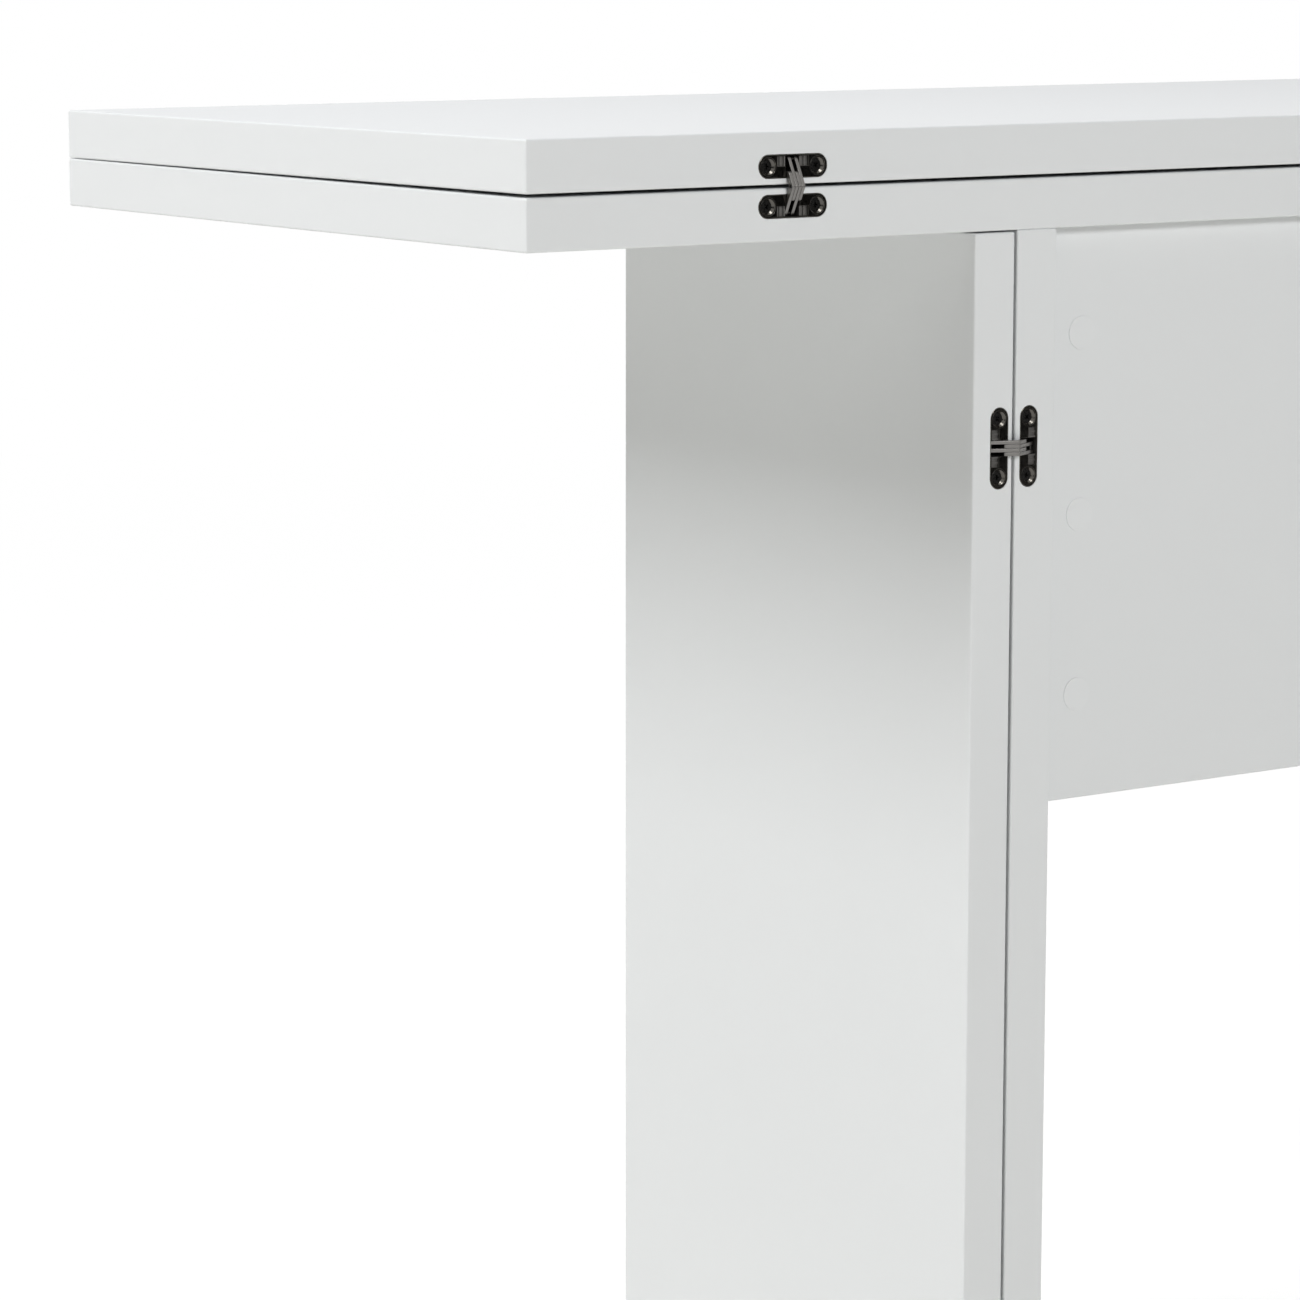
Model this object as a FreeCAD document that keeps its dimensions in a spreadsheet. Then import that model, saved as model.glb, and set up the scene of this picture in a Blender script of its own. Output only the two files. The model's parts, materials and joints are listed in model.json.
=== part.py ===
import FreeCAD, Part
import math
import os
import Sketcher
from FreeCAD import Placement, Rotation, Vector

# Book-fold table: a leaf unfolds forward on concealed link hinges and two leg panels swing out under it.
# Frame: X along the table, hinge side towards -Y, Z up from the floor. All sizes in mm.

doc = FreeCAD.newDocument("folding_table")
sheet = doc.addObject("Spreadsheet::Sheet", "Sizes")

SIZES = {
    # boards
    "table_length": 1300,
    "leaf_depth": 488,
    "leaf_thickness": 28,
    "leg_thickness": 28,
    "leg_height": 717,
    "leg_width": 334,
    "leg_inset": 295,
    "leg_top_clearance": 1,
    "apron_height": 325,
    "apron_thickness": 28,
    "apron_setback": 10,
    "board_edge_radius": 1.2,
    "fold_gap": 2,
    "rear_gap": 0.4,
    # glides and pads
    "glide_height": 5,
    "glide_diameter": 22,
    "glide_edge_radius": 1.5,
    "glide_stem_diameter": 8,
    "glide_stem_length": 12,
    "glide_end_margin": 40,
    "pad_diameter": 12,
    "pad_thickness": 0.36,
    "pad_edge_margin": 20,
    # cam fittings, dowels and cover caps
    "cam_diameter": 15,
    "cam_distance": 27.5,
    "cam_end_margin": 60,
    "cam_clearance": 0.15,
    "cam_past_middle": 5,
    "cam_face_sink": 0.5,
    "cam_socket_back": 3,
    "cam_socket_clearance": 0.3,
    "cam_cross_length": 7,
    "cam_cross_width": 1.2,
    "cam_cross_depth": 2,
    "cap_diameter": 19,
    "cap_thickness": 0.5,
    "cap_edge_radius": 0.25,
    "bolt_shank_diameter": 6,
    "bolt_head_diameter": 7.4,
    "bolt_head_length": 3,
    "bolt_thread_diameter": 8,
    "bolt_thread_length": 11,
    "dowel_diameter": 8,
    "dowel_length": 34,
    "top_cam_margin": 70,
    "top_dowel_margin": 115,
    "fitting_clearance": 0.15,
    "bore_end_clearance": 0.5,
    # hinge positions
    "top_hinge_inset": 170,
    "leg_hinge_drop": 120,
    "leg_hinge_rise": 79,
    # hinge housing
    "hinge_length": 45.5,
    "hinge_width": 12.7,
    "hinge_margin": 3.2,
    "axis_offset": 0.4,
    "flange_depth": 7,
    "housing_depth": 18.8,
    "housing_block_length": 27,
    "housing_rim_radius": 0.5,
    "rib_thickness": 0.9,
    "rib_pocket_width": 1.9,
    "rib_pocket_depth": 1.4,
    "rib_pocket_rim": 1.1,
    "slot_length": 9.4,
    "slot_depth": 17.6,
    "slot_near_wall": 0.8,
    "slot_far_wall": 0.4,
    "notch_depth": 6.4,
    "mortise_clearance": 0.1,
    # hinge links
    "plate_thickness": 2,
    "plate_half_width": 1.5,
    "plate_pair_pitch": 2.15,
    "plate_group_pitch": 4.4,
    "pivot_depth": 4,
    "pivot_near_inset": 1.7,
    "elbow_height": 0.35,
    "elbow_near_inset": 2.2,
    "knuckle_height": 3.5,
    "slide_depth": 3.5,
    "slide_far_inset": 2.7,
    "pivot_pin_radius": 1,
    "pivot_pin_length": 13,
    "slide_pin_radius": 0.9,
    "rivet_radius": 1,
    "pin_clearance": 0.05,
    # hinge screws
    "screw_span": 32.5,
    "screw_seat_diameter": 10,
    "screw_seat_depth": 1.6,
    "screw_head_diameter": 7,
    "screw_head_height": 2,
    "screw_head_sink": 0.2,
    "screw_shank_diameter": 3.5,
    "screw_tip_radius": 0.3,
    "screw_length": 22,
    "screw_recess_length": 4.2,
    "screw_recess_width": 0.9,
    "screw_recess_depth": 1.6,
    "screw_clearance": 0.15,
}

for row, (alias, value) in enumerate(SIZES.items(), start=1):
    sheet.set(f"A{row}", alias)
    sheet.set(f"B{row}", str(value))
    sheet.setAlias(f"B{row}", alias)
doc.recompute()


def size(alias):
    """Value of one sheet cell."""
    return float(sheet.get(alias))


nodes = []
X_AXIS = Vector(1, 0, 0)
Y_AXIS = Vector(0, 1, 0)
Z_AXIS = Vector(0, 0, 1)
ALONG_Y = Rotation(X_AXIS, -90)
ALONG_X = Rotation(Y_AXIS, 90)

half_length = size("table_length") / 2
half_depth = size("leaf_depth") / 2
half_gap = size("fold_gap") / 2
underside = size("leg_height") + size("glide_height")
lower_top = underside + size("leaf_thickness")
axis_y = -half_depth - size("axis_offset")
near = half_gap + size("hinge_margin")
far = near + size("hinge_width")


def bind(obj, **expressions):
    """Tie properties to sheet cells; a double underscore in a name stands for a dot."""
    for prop, expression in expressions.items():
        obj.setExpression(prop.replace("__", "."), expression)
    return obj


def box(name, length, width, height, x, y, z):
    """Block whose sizes and corner are expressions on the sheet."""
    obj = doc.addObject("Part::Box", name)
    return bind(obj, Length=length, Width=width, Height=height,
                Placement__Base__x=x, Placement__Base__y=y, Placement__Base__z=z)


def cylinder(name, radius, height, rotation, x, y, z):
    """Round bar along the turned Z axis, sizes and start as expressions."""
    obj = doc.addObject("Part::Cylinder", name)
    obj.Placement.Rotation = rotation
    return bind(obj, Radius=radius, Height=height,
                Placement__Base__x=x, Placement__Base__y=y, Placement__Base__z=z)


def cone(name, radius1, radius2, height, rotation, x, y, z):
    """Tapered bar along the turned Z axis, sizes and start as expressions."""
    obj = doc.addObject("Part::Cone", name)
    obj.Placement.Rotation = rotation
    return bind(obj, Radius1=radius1, Radius2=radius2, Height=height,
                Placement__Base__x=x, Placement__Base__y=y, Placement__Base__z=z)


def fuse(name, shapes):
    """Union of several objects."""
    obj = doc.addObject("Part::MultiFuse", name)
    obj.Shapes = shapes
    obj.Refine = True
    return obj


def compound(name, members):
    """Loose group of objects."""
    obj = doc.addObject("Part::Compound", name)
    obj.Links = members
    return obj


def cut(name, base, tools):
    """Base with every tool taken away."""
    obj = doc.addObject("Part::Cut", name)
    obj.Base = base
    obj.Tool = compound(name + "_tools", tools) if len(tools) > 1 else tools[0]
    return obj


def fillet(name, base, radius, wanted=lambda edge: True):
    """Round the wanted edges of an object."""
    doc.recompute()
    obj = doc.addObject("Part::Fillet", name)
    obj.Base = base
    picked = [i for i, edge in enumerate(base.Shape.Edges, start=1) if wanted(edge)]
    obj.Edges = [(i, radius, radius) for i in picked]
    return obj


def placed(master, placement):
    """Another copy of a master shape at a placement."""
    obj = doc.addObject("App::Link", master.Name + "_copy")
    obj.LinkedObject = master
    obj.LinkTransform = True
    obj.Placement = placement
    return obj


def copies(master, placements):
    """One copy of a master shape for every placement."""
    return [placed(master, placement) for placement in placements]


def node(label, obj, placement=None):
    """Take an object into the list of sub-parts that are written out."""
    obj.Label = label
    if placement is not None:
        obj.Placement = placement
    nodes.append(obj)
    return obj


def facing(x, y, z, outward, across=None):
    """Placement on a face: Z along the outward normal, X along the given direction."""
    if across is None:
        return Placement(Vector(x, y, z), Rotation(Z_AXIS, outward))
    return Placement(Vector(x, y, z), Rotation(across, outward.cross(across), outward, "ZXY"))


# Hinge housing, in the hinge frame: X along the fold axis, Y into the board, Z across the gap
half_span = "(Sizes.hinge_length - Sizes.hinge_width) / 2"
near_z = "(Sizes.fold_gap / 2 + Sizes.hinge_margin)"
far_z = f"({near_z} + Sizes.hinge_width)"
mid_z = f"({near_z} + Sizes.hinge_width / 2)"


def oblong(name, spare, depth):
    """Round-ended plate with a deeper middle block, grown on all sides by the spare width."""
    width = f"Sizes.hinge_width + 2 * {spare}"
    start = "Sizes.axis_offset"
    middle = box(name + "_middle", f"2 * {half_span}", depth, width,
                 f"-{half_span}", start, f"-{far_z} - {spare}")
    ends = [cylinder(f"{name}_end{i}", f"Sizes.hinge_width / 2 + {spare}", depth, ALONG_Y,
                     f"{sign} * {half_span}", start, f"-{mid_z}") for i, sign in enumerate((1, -1))]
    block = box(name + "_block", f"Sizes.housing_block_length + 2 * {spare}",
                f"Sizes.housing_depth + {spare}", width,
                f"-Sizes.housing_block_length / 2 - {spare}", start, f"-{far_z} - {spare}")
    return fuse(name, [middle] + ends + [block])


def in_face(edge):
    """True for the edges of the housing's outer face."""
    return all(abs(v.Y - size("axis_offset")) < 1e-6 for v in edge.Vertexes)


housing_blank = fillet("housing_blank", oblong("housing_body", "0", "Sizes.flange_depth"),
                       size("housing_rim_radius"), in_face)
rib_pockets = []
rib_pitch = "(Sizes.rib_pocket_width + Sizes.rib_thickness)"
for i in (0, 1):
    start = f"(Sizes.slot_length / 2 + Sizes.rib_thickness + {i} * {rib_pitch})"
    for side, corner in (("right", start), ("left", f"-{start} - Sizes.rib_pocket_width")):
        rib_pockets.append(box(
            f"rib_pocket_{side}{i}", "Sizes.rib_pocket_width", "Sizes.rib_pocket_depth + 1",
            "Sizes.hinge_width / 2 - Sizes.rib_pocket_rim",
            corner, "Sizes.axis_offset - 1", f"-{far_z} + Sizes.rib_pocket_rim"))
slot = box("slot", "Sizes.slot_length", "Sizes.slot_depth + 1",
           "Sizes.hinge_width - Sizes.slot_near_wall - Sizes.slot_far_wall",
           "-Sizes.slot_length / 2", "Sizes.axis_offset - 1", f"-{far_z} + Sizes.slot_far_wall")
notch = box("notch", "Sizes.slot_length", "Sizes.notch_depth + 1", "Sizes.slot_near_wall + 2",
            "-Sizes.slot_length / 2", "Sizes.axis_offset - 1", f"-{near_z} - Sizes.slot_near_wall - 1")
pivot_bore = cylinder("pivot_bore", "Sizes.pivot_pin_radius + Sizes.pin_clearance",
                      "Sizes.pivot_pin_length + 2 * Sizes.pin_clearance", ALONG_X,
                      "-Sizes.pivot_pin_length / 2 - Sizes.pin_clearance",
                      "Sizes.pivot_depth", f"-{near_z} - Sizes.pivot_near_inset")
screw_seats = []
seat_floor = "(Sizes.screw_head_diameter / 2 + 2 * Sizes.screw_clearance)"
for i, sign in enumerate((1, -1)):
    screw_x = f"{sign} * Sizes.screw_span / 2"
    screw_seats.append(cylinder(
        f"screw_hole{i}", "Sizes.screw_shank_diameter / 2 + Sizes.screw_clearance",
        "Sizes.flange_depth + 2", ALONG_Y, screw_x, "Sizes.axis_offset - 1", f"-{mid_z}"))
    screw_seats.append(cone(
        f"screw_seat{i}", "Sizes.screw_seat_diameter / 2", seat_floor, "Sizes.screw_seat_depth",
        ALONG_Y, screw_x, "Sizes.axis_offset", f"-{mid_z}"))
    screw_seats.append(cone(
        f"screw_sink{i}", seat_floor, "Sizes.screw_shank_diameter / 2 + 2 * Sizes.screw_clearance",
        "Sizes.screw_head_height + Sizes.screw_head_sink", ALONG_Y, screw_x,
        "Sizes.axis_offset + Sizes.screw_seat_depth", f"-{mid_z}"))
housing = cut("housing", housing_blank, rib_pockets + [slot, notch, pivot_bore] + screw_seats)

# Mortise that a housing and its screws need in a board
mortise_body = oblong("mortise_body", "Sizes.mortise_clearance",
                      "Sizes.flange_depth + Sizes.mortise_clearance")
mortise_mouth = box("mortise_mouth", f"2 * {half_span}", "2 * Sizes.board_edge_radius",
                    "Sizes.hinge_width + 2 * Sizes.mortise_clearance", f"-{half_span}",
                    "Sizes.axis_offset - 2 * Sizes.board_edge_radius", f"-{far_z} - Sizes.mortise_clearance")
pilots = [cylinder(f"pilot{i}", "Sizes.screw_shank_diameter / 2 + Sizes.screw_clearance",
                   "Sizes.screw_seat_depth + Sizes.screw_length + Sizes.bore_end_clearance", ALONG_Y,
                   f"{sign} * Sizes.screw_span / 2", "Sizes.axis_offset", f"-{mid_z}")
          for i, sign in enumerate((1, -1))]
mortise = fuse("mortise", [mortise_body, mortise_mouth] + pilots)

# Link plate: pivot in its own housing, elbow, knuckle at the gap, sliding end in the other housing
pivot_at = Vector(size("pivot_depth"), -near - size("pivot_near_inset"), 0)
knuckle_at = Vector(-size("knuckle_height"), 0, 0)
slide_at = Vector(size("slide_depth"), far - size("slide_far_inset"), 0)
plate_path = [
    pivot_at,
    Vector(-size("elbow_height"), -near - size("elbow_near_inset"), 0),
    knuckle_at,
    slide_at,
]


def band_outline(path, half_width):
    """Lines and arcs of a round-ended band along a path of straight legs."""
    def side(points):
        """Left-hand side of the path: straight runs joined by arcs or inner corners."""
        runs = []
        for a, b in zip(points[:-1], points[1:]):
            along = (b - a).normalize()
            left = Vector(-along.y, along.x, 0) * half_width
            runs.append([a + left, b + left, along])
        joints = []
        for (first, second), corner in zip(zip(runs[:-1], runs[1:]), points[1:-1]):
            turn = first[2].cross(second[2]).z
            if turn > 0:
                reach = half_width * math.tan(first[2].getAngle(second[2]) / 2)
                meet = first[1] - first[2] * reach
                first[1] = meet
                second[0] = meet
                joints.append(None)
            else:
                bisector = ((first[1] - corner) + (second[0] - corner)).normalize() * half_width
                joints.append(Part.Arc(first[1], corner + bisector, second[0]))
        pieces = []
        for run, joint in zip(runs, joints + [None]):
            pieces.append(Part.LineSegment(run[0], run[1]))
            if joint is not None:
                pieces.append(joint)
        return pieces, runs[0][0], runs[-1][1]

    out, out_start, out_end = side(path)
    back, back_start, back_end = side(path[::-1])
    tip = path[-1] + (path[-1] - path[-2]).normalize() * half_width
    tail = path[0] + (path[0] - path[1]).normalize() * half_width
    return out + [Part.Arc(out_end, tip, back_start)] + back + [Part.Arc(back_end, tail, out_start)]


plate = doc.addObject("PartDesign::Body", "link_plate")
plate_sketch = plate.newObject("Sketcher::SketchObject", "plate_outline")
plate_plane = [f for f in plate.Origin.OriginFeatures if f.Role == "YZ_Plane"][0]
plate_sketch.AttachmentSupport = [(plate_plane, "")]
plate_sketch.MapMode = "FlatFace"
for piece in band_outline(plate_path, size("plate_half_width")):
    plate_sketch.addGeometry(piece, False)
plate_holes = ((pivot_at, "pivot_pin_radius"), (knuckle_at, "rivet_radius"), (slide_at, "slide_pin_radius"))
for centre, hole in plate_holes:
    radius = size(hole) + size("pin_clearance")
    index = plate_sketch.addGeometry(Part.Circle(centre, Z_AXIS, radius), False)
    rule = plate_sketch.addConstraint(Sketcher.Constraint("Radius", index, radius))
    plate_sketch.setExpression(f"Constraints[{rule}]", f"Sizes.{hole} + Sizes.pin_clearance")
plate_pad = plate.newObject("PartDesign::Pad", "plate_pad")
plate_pad.Profile = plate_sketch
plate_pad.Midplane = True
plate_pad.setExpression("Length", "Sizes.plate_thickness")

# Pins and rivets of one link set, in the hinge frame
pivot_pin = cylinder("pivot_pin", "Sizes.pivot_pin_radius", "Sizes.pivot_pin_length", ALONG_X,
                     "-Sizes.pivot_pin_length / 2", "Sizes.pivot_depth",
                     f"-{near_z} - Sizes.pivot_near_inset")
slide_pin = cylinder("slide_pin", "Sizes.slide_pin_radius", "Sizes.plate_group_pitch + Sizes.plate_thickness",
                     ALONG_X, "-(Sizes.plate_group_pitch + Sizes.plate_thickness) / 2",
                     "Sizes.slide_depth", f"{far_z} - Sizes.slide_far_inset")
rivet = cylinder("rivet", "Sizes.rivet_radius", "Sizes.plate_thickness", ALONG_X,
                 "-Sizes.plate_thickness / 2", "-Sizes.knuckle_height", "0")

# Countersunk screw with a cross recess: head at Z = 0, shank down
screw_head = cone("screw_head", "Sizes.screw_shank_diameter / 2", "Sizes.screw_head_diameter / 2",
                  "Sizes.screw_head_height", Rotation(), "0", "0",
                  "-Sizes.screw_head_height - Sizes.screw_head_sink")
screw_shank = cylinder("screw_shank", "Sizes.screw_shank_diameter / 2",
                       "Sizes.screw_length - Sizes.screw_head_sink - Sizes.screw_shank_diameter",
                       Rotation(), "0", "0", "-Sizes.screw_length + Sizes.screw_shank_diameter")
screw_tip = cone("screw_tip", "Sizes.screw_tip_radius", "Sizes.screw_shank_diameter / 2",
                 "Sizes.screw_shank_diameter", Rotation(), "0", "0", "-Sizes.screw_length")
cross = [box(f"cross{i}", long, wide, "Sizes.screw_recess_depth + 1", f"-({long}) / 2", f"-({wide}) / 2",
             "-Sizes.screw_recess_depth - Sizes.screw_head_sink")
         for i, (long, wide) in enumerate((("Sizes.screw_recess_length", "Sizes.screw_recess_width"),
                                           ("Sizes.screw_recess_width", "Sizes.screw_recess_length")))]
screw = cut("screw", fuse("screw_body", [screw_head, screw_shank, screw_tip]), cross)

# Cam fitting: face at Z = 0, bolt socket towards X
cam_depth = "(Sizes.apron_thickness / 2 + Sizes.cam_past_middle)"
cam_body = cylinder("cam_body", "Sizes.cam_diameter / 2", f"{cam_depth} - Sizes.cam_face_sink", Rotation(),
                    "0", "0", f"-{cam_depth}")
cam_socket = cylinder("cam_socket", "Sizes.bolt_head_diameter / 2 + Sizes.cam_socket_clearance",
                      "Sizes.cam_diameter / 2 + Sizes.cam_socket_back + 1", ALONG_X,
                      "-Sizes.cam_socket_back", "0", "-Sizes.apron_thickness / 2")
cam_cross = [box(f"cam_cross{i}", long, wide, "Sizes.cam_cross_depth + 1", f"-({long}) / 2", f"-({wide}) / 2",
                 "-Sizes.cam_face_sink - Sizes.cam_cross_depth")
             for i, (long, wide) in enumerate((("Sizes.cam_cross_length", "Sizes.cam_cross_width"),
                                               ("Sizes.cam_cross_width", "Sizes.cam_cross_length")))]
cam = cut("cam", cam_body, [cam_socket] + cam_cross)
cam_bore = cylinder("cam_bore", "Sizes.cam_diameter / 2 + Sizes.cam_clearance", f"{cam_depth} + 1",
                    Rotation(), "0", "0", f"-{cam_depth}")

# Cam bolt: joint face at Z = 0, head towards the cam, thread into the other board
bolt_head = cylinder("bolt_head", "Sizes.bolt_head_diameter / 2", "Sizes.bolt_head_length", Rotation(),
                     "0", "0", "-Sizes.cam_distance")
bolt_shank = cylinder("bolt_shank", "Sizes.bolt_shank_diameter / 2", "Sizes.cam_distance", Rotation(),
                      "0", "0", "-Sizes.cam_distance")
bolt_thread = cylinder("bolt_thread", "Sizes.bolt_thread_diameter / 2", "Sizes.bolt_thread_length",
                       Rotation(), "0", "0", "0")
cam_bolt = fuse("cam_bolt", [bolt_head, bolt_shank, bolt_thread])
bolt_bore = cylinder("bolt_bore", "Sizes.bolt_thread_diameter / 2 + Sizes.fitting_clearance",
                     "Sizes.cam_distance + Sizes.bolt_thread_length + Sizes.bore_end_clearance",
                     Rotation(), "0", "0", "-Sizes.cam_distance")

# Dowel across a joint face, cover cap on a face, glide under a leg, pad on the lower leaf
dowel = cylinder("dowel", "Sizes.dowel_diameter / 2", "Sizes.dowel_length", Rotation(), "0", "0",
                 "-Sizes.dowel_length / 2")
dowel_bore = cylinder("dowel_bore", "Sizes.dowel_diameter / 2 + Sizes.fitting_clearance",
                      "Sizes.dowel_length + 2 * Sizes.bore_end_clearance", Rotation(), "0", "0",
                      "-Sizes.dowel_length / 2 - Sizes.bore_end_clearance")
cap_disc = cylinder("cap_disc", "Sizes.cap_diameter / 2", "Sizes.cap_thickness", Rotation(), "0", "0", "0")
cap = fillet("cap", cap_disc, size("cap_edge_radius"),
             lambda edge: all(v.Z > size("cap_thickness") / 2 for v in edge.Vertexes))
glide_foot = cylinder("glide_foot", "Sizes.glide_diameter / 2", "Sizes.glide_height", Rotation(),
                      "0", "0", "0")
glide_rounded = fillet("glide_rounded", glide_foot, size("glide_edge_radius"),
                       lambda edge: all(v.Z > size("glide_height") / 2 for v in edge.Vertexes))
glide_stem = cylinder("glide_stem", "Sizes.glide_stem_diameter / 2", "Sizes.glide_stem_length + 1",
                      Rotation(), "0", "0", "-Sizes.glide_stem_length")
glide = fuse("glide", [glide_rounded, glide_stem])
glide_bore = cylinder("glide_bore", "Sizes.glide_stem_diameter / 2 + Sizes.fitting_clearance",
                      "Sizes.glide_stem_length + 2 * Sizes.bore_end_clearance", Rotation(), "0", "0",
                      "-Sizes.glide_stem_length - Sizes.bore_end_clearance")
pad = cylinder("pad", "Sizes.pad_diameter / 2", "Sizes.pad_thickness", Rotation(), "0", "0", "0")

# Hinge frames: the moving board lies towards the frame's +Z, the fixed one towards -Z
top_axis_z = lower_top + half_gap
leg_axis_x = half_length - size("leg_inset") - size("leg_thickness") - half_gap
leg_hinge_heights = {
    "upper": underside - size("leg_hinge_drop"),
    "lower": size("glide_height") + size("leg_hinge_rise"),
}
top_hinge_x = {
    "left": -half_length + size("top_hinge_inset"),
    "middle": 0.0,
    "right": half_length - size("top_hinge_inset"),
}
LEFT_TURN = Rotation(Y_AXIS, -90)
RIGHT_TURN = Rotation(Y_AXIS, 90)
top_frames = {k: Placement(Vector(x, axis_y, top_axis_z), Rotation()) for k, x in top_hinge_x.items()}
left_frames = {k: Placement(Vector(-leg_axis_x, axis_y, z), LEFT_TURN) for k, z in leg_hinge_heights.items()}
right_frames = {k: Placement(Vector(leg_axis_x, axis_y, z), RIGHT_TURN) for k, z in leg_hinge_heights.items()}
FLIP = Placement(Vector(), Rotation(Y_AXIS, 180))

# The folded leaf rests a little tilted about the fold axis, down to the pads at its free edge
tilt_angle = -math.degrees((size("fold_gap") - size("rear_gap")) / size("leaf_depth"))
TILT = Placement(Vector(), Rotation(X_AXIS, tilt_angle), Vector(0, axis_y, top_axis_z))


def fixed_side(frames):
    """Placements of the fixed half of every hinge on one line."""
    return list(frames.values())


def moving_side(frames):
    """Placements of the moving half of every hinge on one line."""
    return [frame * FLIP for frame in frames.values()]


def screws_of(sides):
    """Placements of the screws of every housing half."""
    into_board = Rotation(Z_AXIS, Vector(0, -1, 0))
    depth = size("axis_offset") + size("screw_seat_depth")
    spots = [Vector(sign * size("screw_span") / 2, depth, -(near + far) / 2) for sign in (1, -1)]
    return [side * Placement(spot, into_board) for side in sides for spot in spots]


def plates_of(sides):
    """Placements of the link plates of every housing half: two plates, one pair pitch off centre."""
    last = (size("plate_group_pitch") + size("plate_pair_pitch")) / 2
    spots = [Vector(last - size("plate_group_pitch"), 0, 0), Vector(last, 0, 0)]
    return [side * Placement(spot, Rotation()) for side in sides for spot in spots]


def slide_pins_of(sides):
    """Placements of the pin through the sliding ends of each pair of plates."""
    middle = size("plate_pair_pitch") / 2
    return [side * Placement(Vector(middle, 0, 0), Rotation()) for side in sides]


# Fittings that hold the apron to the inner legs and the lower leaf to both
inner_face = leg_axis_x - half_gap - size("leg_thickness")
apron_front = -half_depth + size("apron_setback")
apron_middle_y = apron_front + size("apron_thickness") / 2
apron_back = apron_front + size("apron_thickness")
leg_middle_x = inner_face + size("leg_thickness") / 2
apron_cam_z = [underside - size("cam_end_margin"), underside - size("apron_height") / 2,
               underside - size("apron_height") + size("cam_end_margin")]
apron_dowel_z = [(apron_cam_z[0] + apron_cam_z[1]) / 2, (apron_cam_z[1] + apron_cam_z[2]) / 2]
leg_back = -half_depth + size("leg_width")
leg_cam_y = [apron_back + size("top_cam_margin"), leg_back - size("top_cam_margin")]
leg_dowel_y = [apron_back + size("top_dowel_margin"), leg_back - size("top_dowel_margin")]
apron_top_x = inner_face / 2
leaf_cam_z = underside - size("cam_distance")
FRONT = Vector(0, -1, 0)
BACK = Vector(0, 1, 0)

cam_spots = []
bolt_spots = []
dowel_spots = []
for side in (-1, 1):
    outward = Vector(side, 0, 0)
    inward = Vector(-side, 0, 0)
    for z in apron_cam_z:
        cam_x = side * (inner_face - size("cam_distance"))
        cam_spots.append(facing(cam_x, apron_front, z, FRONT, outward))
        bolt_spots.append(facing(side * inner_face, apron_middle_y, z, outward))
    for z in apron_dowel_z:
        dowel_spots.append(facing(side * inner_face, apron_middle_y, z, outward))
    for y in leg_cam_y:
        cam_spots.append(facing(side * inner_face, y, leaf_cam_z, inward, Z_AXIS))
        bolt_spots.append(facing(side * leg_middle_x, y, underside, Z_AXIS))
    for y in leg_dowel_y:
        dowel_spots.append(facing(side * leg_middle_x, y, underside, Z_AXIS))
    cam_spots.append(facing(side * apron_top_x, apron_back, leaf_cam_z, BACK, Z_AXIS))
    bolt_spots.append(facing(side * apron_top_x, apron_middle_y, underside, Z_AXIS))
    dowel_spots.append(facing(side * apron_top_x / 2, apron_middle_y, underside, Z_AXIS))


def glide_spots(x):
    """Placements of the two glides under a leg panel centred on x."""
    ends = [-half_depth + size("glide_end_margin"), leg_back - size("glide_end_margin")]
    return [facing(x, y, size("glide_height"), Vector(0, 0, -1)) for y in ends]


outer_middle_x = leg_axis_x + half_gap + size("leg_thickness") / 2
pad_y = half_depth - size("pad_edge_margin")
pad_spots = [facing(x, pad_y, lower_top, Z_AXIS) for x in top_hinge_x.values()]


def board(label, length, width, height, x, y, z, cutters, placement=None):
    """Board with eased edges, holed for its hinges and fittings."""
    blank = fillet(label + "_eased", box(label + "_blank", length, width, height, x, y, z),
                   size("board_edge_radius"))
    return node(label, cut(label, blank, cutters), placement)


leg_drop = "Sizes.glide_height"
front = "-Sizes.leaf_depth / 2"
under = "Sizes.leg_height + Sizes.glide_height"
outer_x = "Sizes.table_length / 2 - Sizes.leg_inset"
inner_x = f"{outer_x} - 2 * Sizes.leg_thickness - Sizes.fold_gap"
leg_sizes = ("Sizes.leg_thickness", "Sizes.leg_width")

# Boards
fittings = copies(cam_bore, cam_spots) + copies(bolt_bore, bolt_spots) + copies(dowel_bore, dowel_spots)
board("lower_leaf", "Sizes.table_length", "Sizes.leaf_depth", "Sizes.leaf_thickness",
      "-Sizes.table_length / 2", front, under, copies(mortise, fixed_side(top_frames)) + fittings)
board("upper_leaf", "Sizes.table_length", "Sizes.leaf_depth", "Sizes.leaf_thickness",
      "-Sizes.table_length / 2", front, f"{under} + Sizes.leaf_thickness + Sizes.fold_gap",
      copies(mortise, moving_side(top_frames)), TILT)
board("apron", f"2 * ({inner_x})", "Sizes.apron_thickness", "Sizes.apron_height", f"-({inner_x})",
      f"{front} + Sizes.apron_setback", f"{under} - Sizes.apron_height", fittings)
for name, sign, frames in (("left", -1, left_frames), ("right", 1, right_frames)):
    corner = f"{inner_x}" if sign > 0 else f"-({inner_x}) - Sizes.leg_thickness"
    holes = copies(mortise, fixed_side(frames)) + copies(glide_bore, glide_spots(sign * leg_middle_x))
    board(f"inner_leg_{name}", *leg_sizes, "Sizes.leg_height", corner, front, leg_drop, holes + fittings)
    corner = f"{outer_x} - Sizes.leg_thickness" if sign > 0 else f"-({outer_x})"
    holes = copies(mortise, moving_side(frames)) + copies(glide_bore, glide_spots(sign * outer_middle_x))
    board(f"outer_leg_{name}", *leg_sizes, "Sizes.leg_height - Sizes.leg_top_clearance",
          corner, front, leg_drop, holes)

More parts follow.
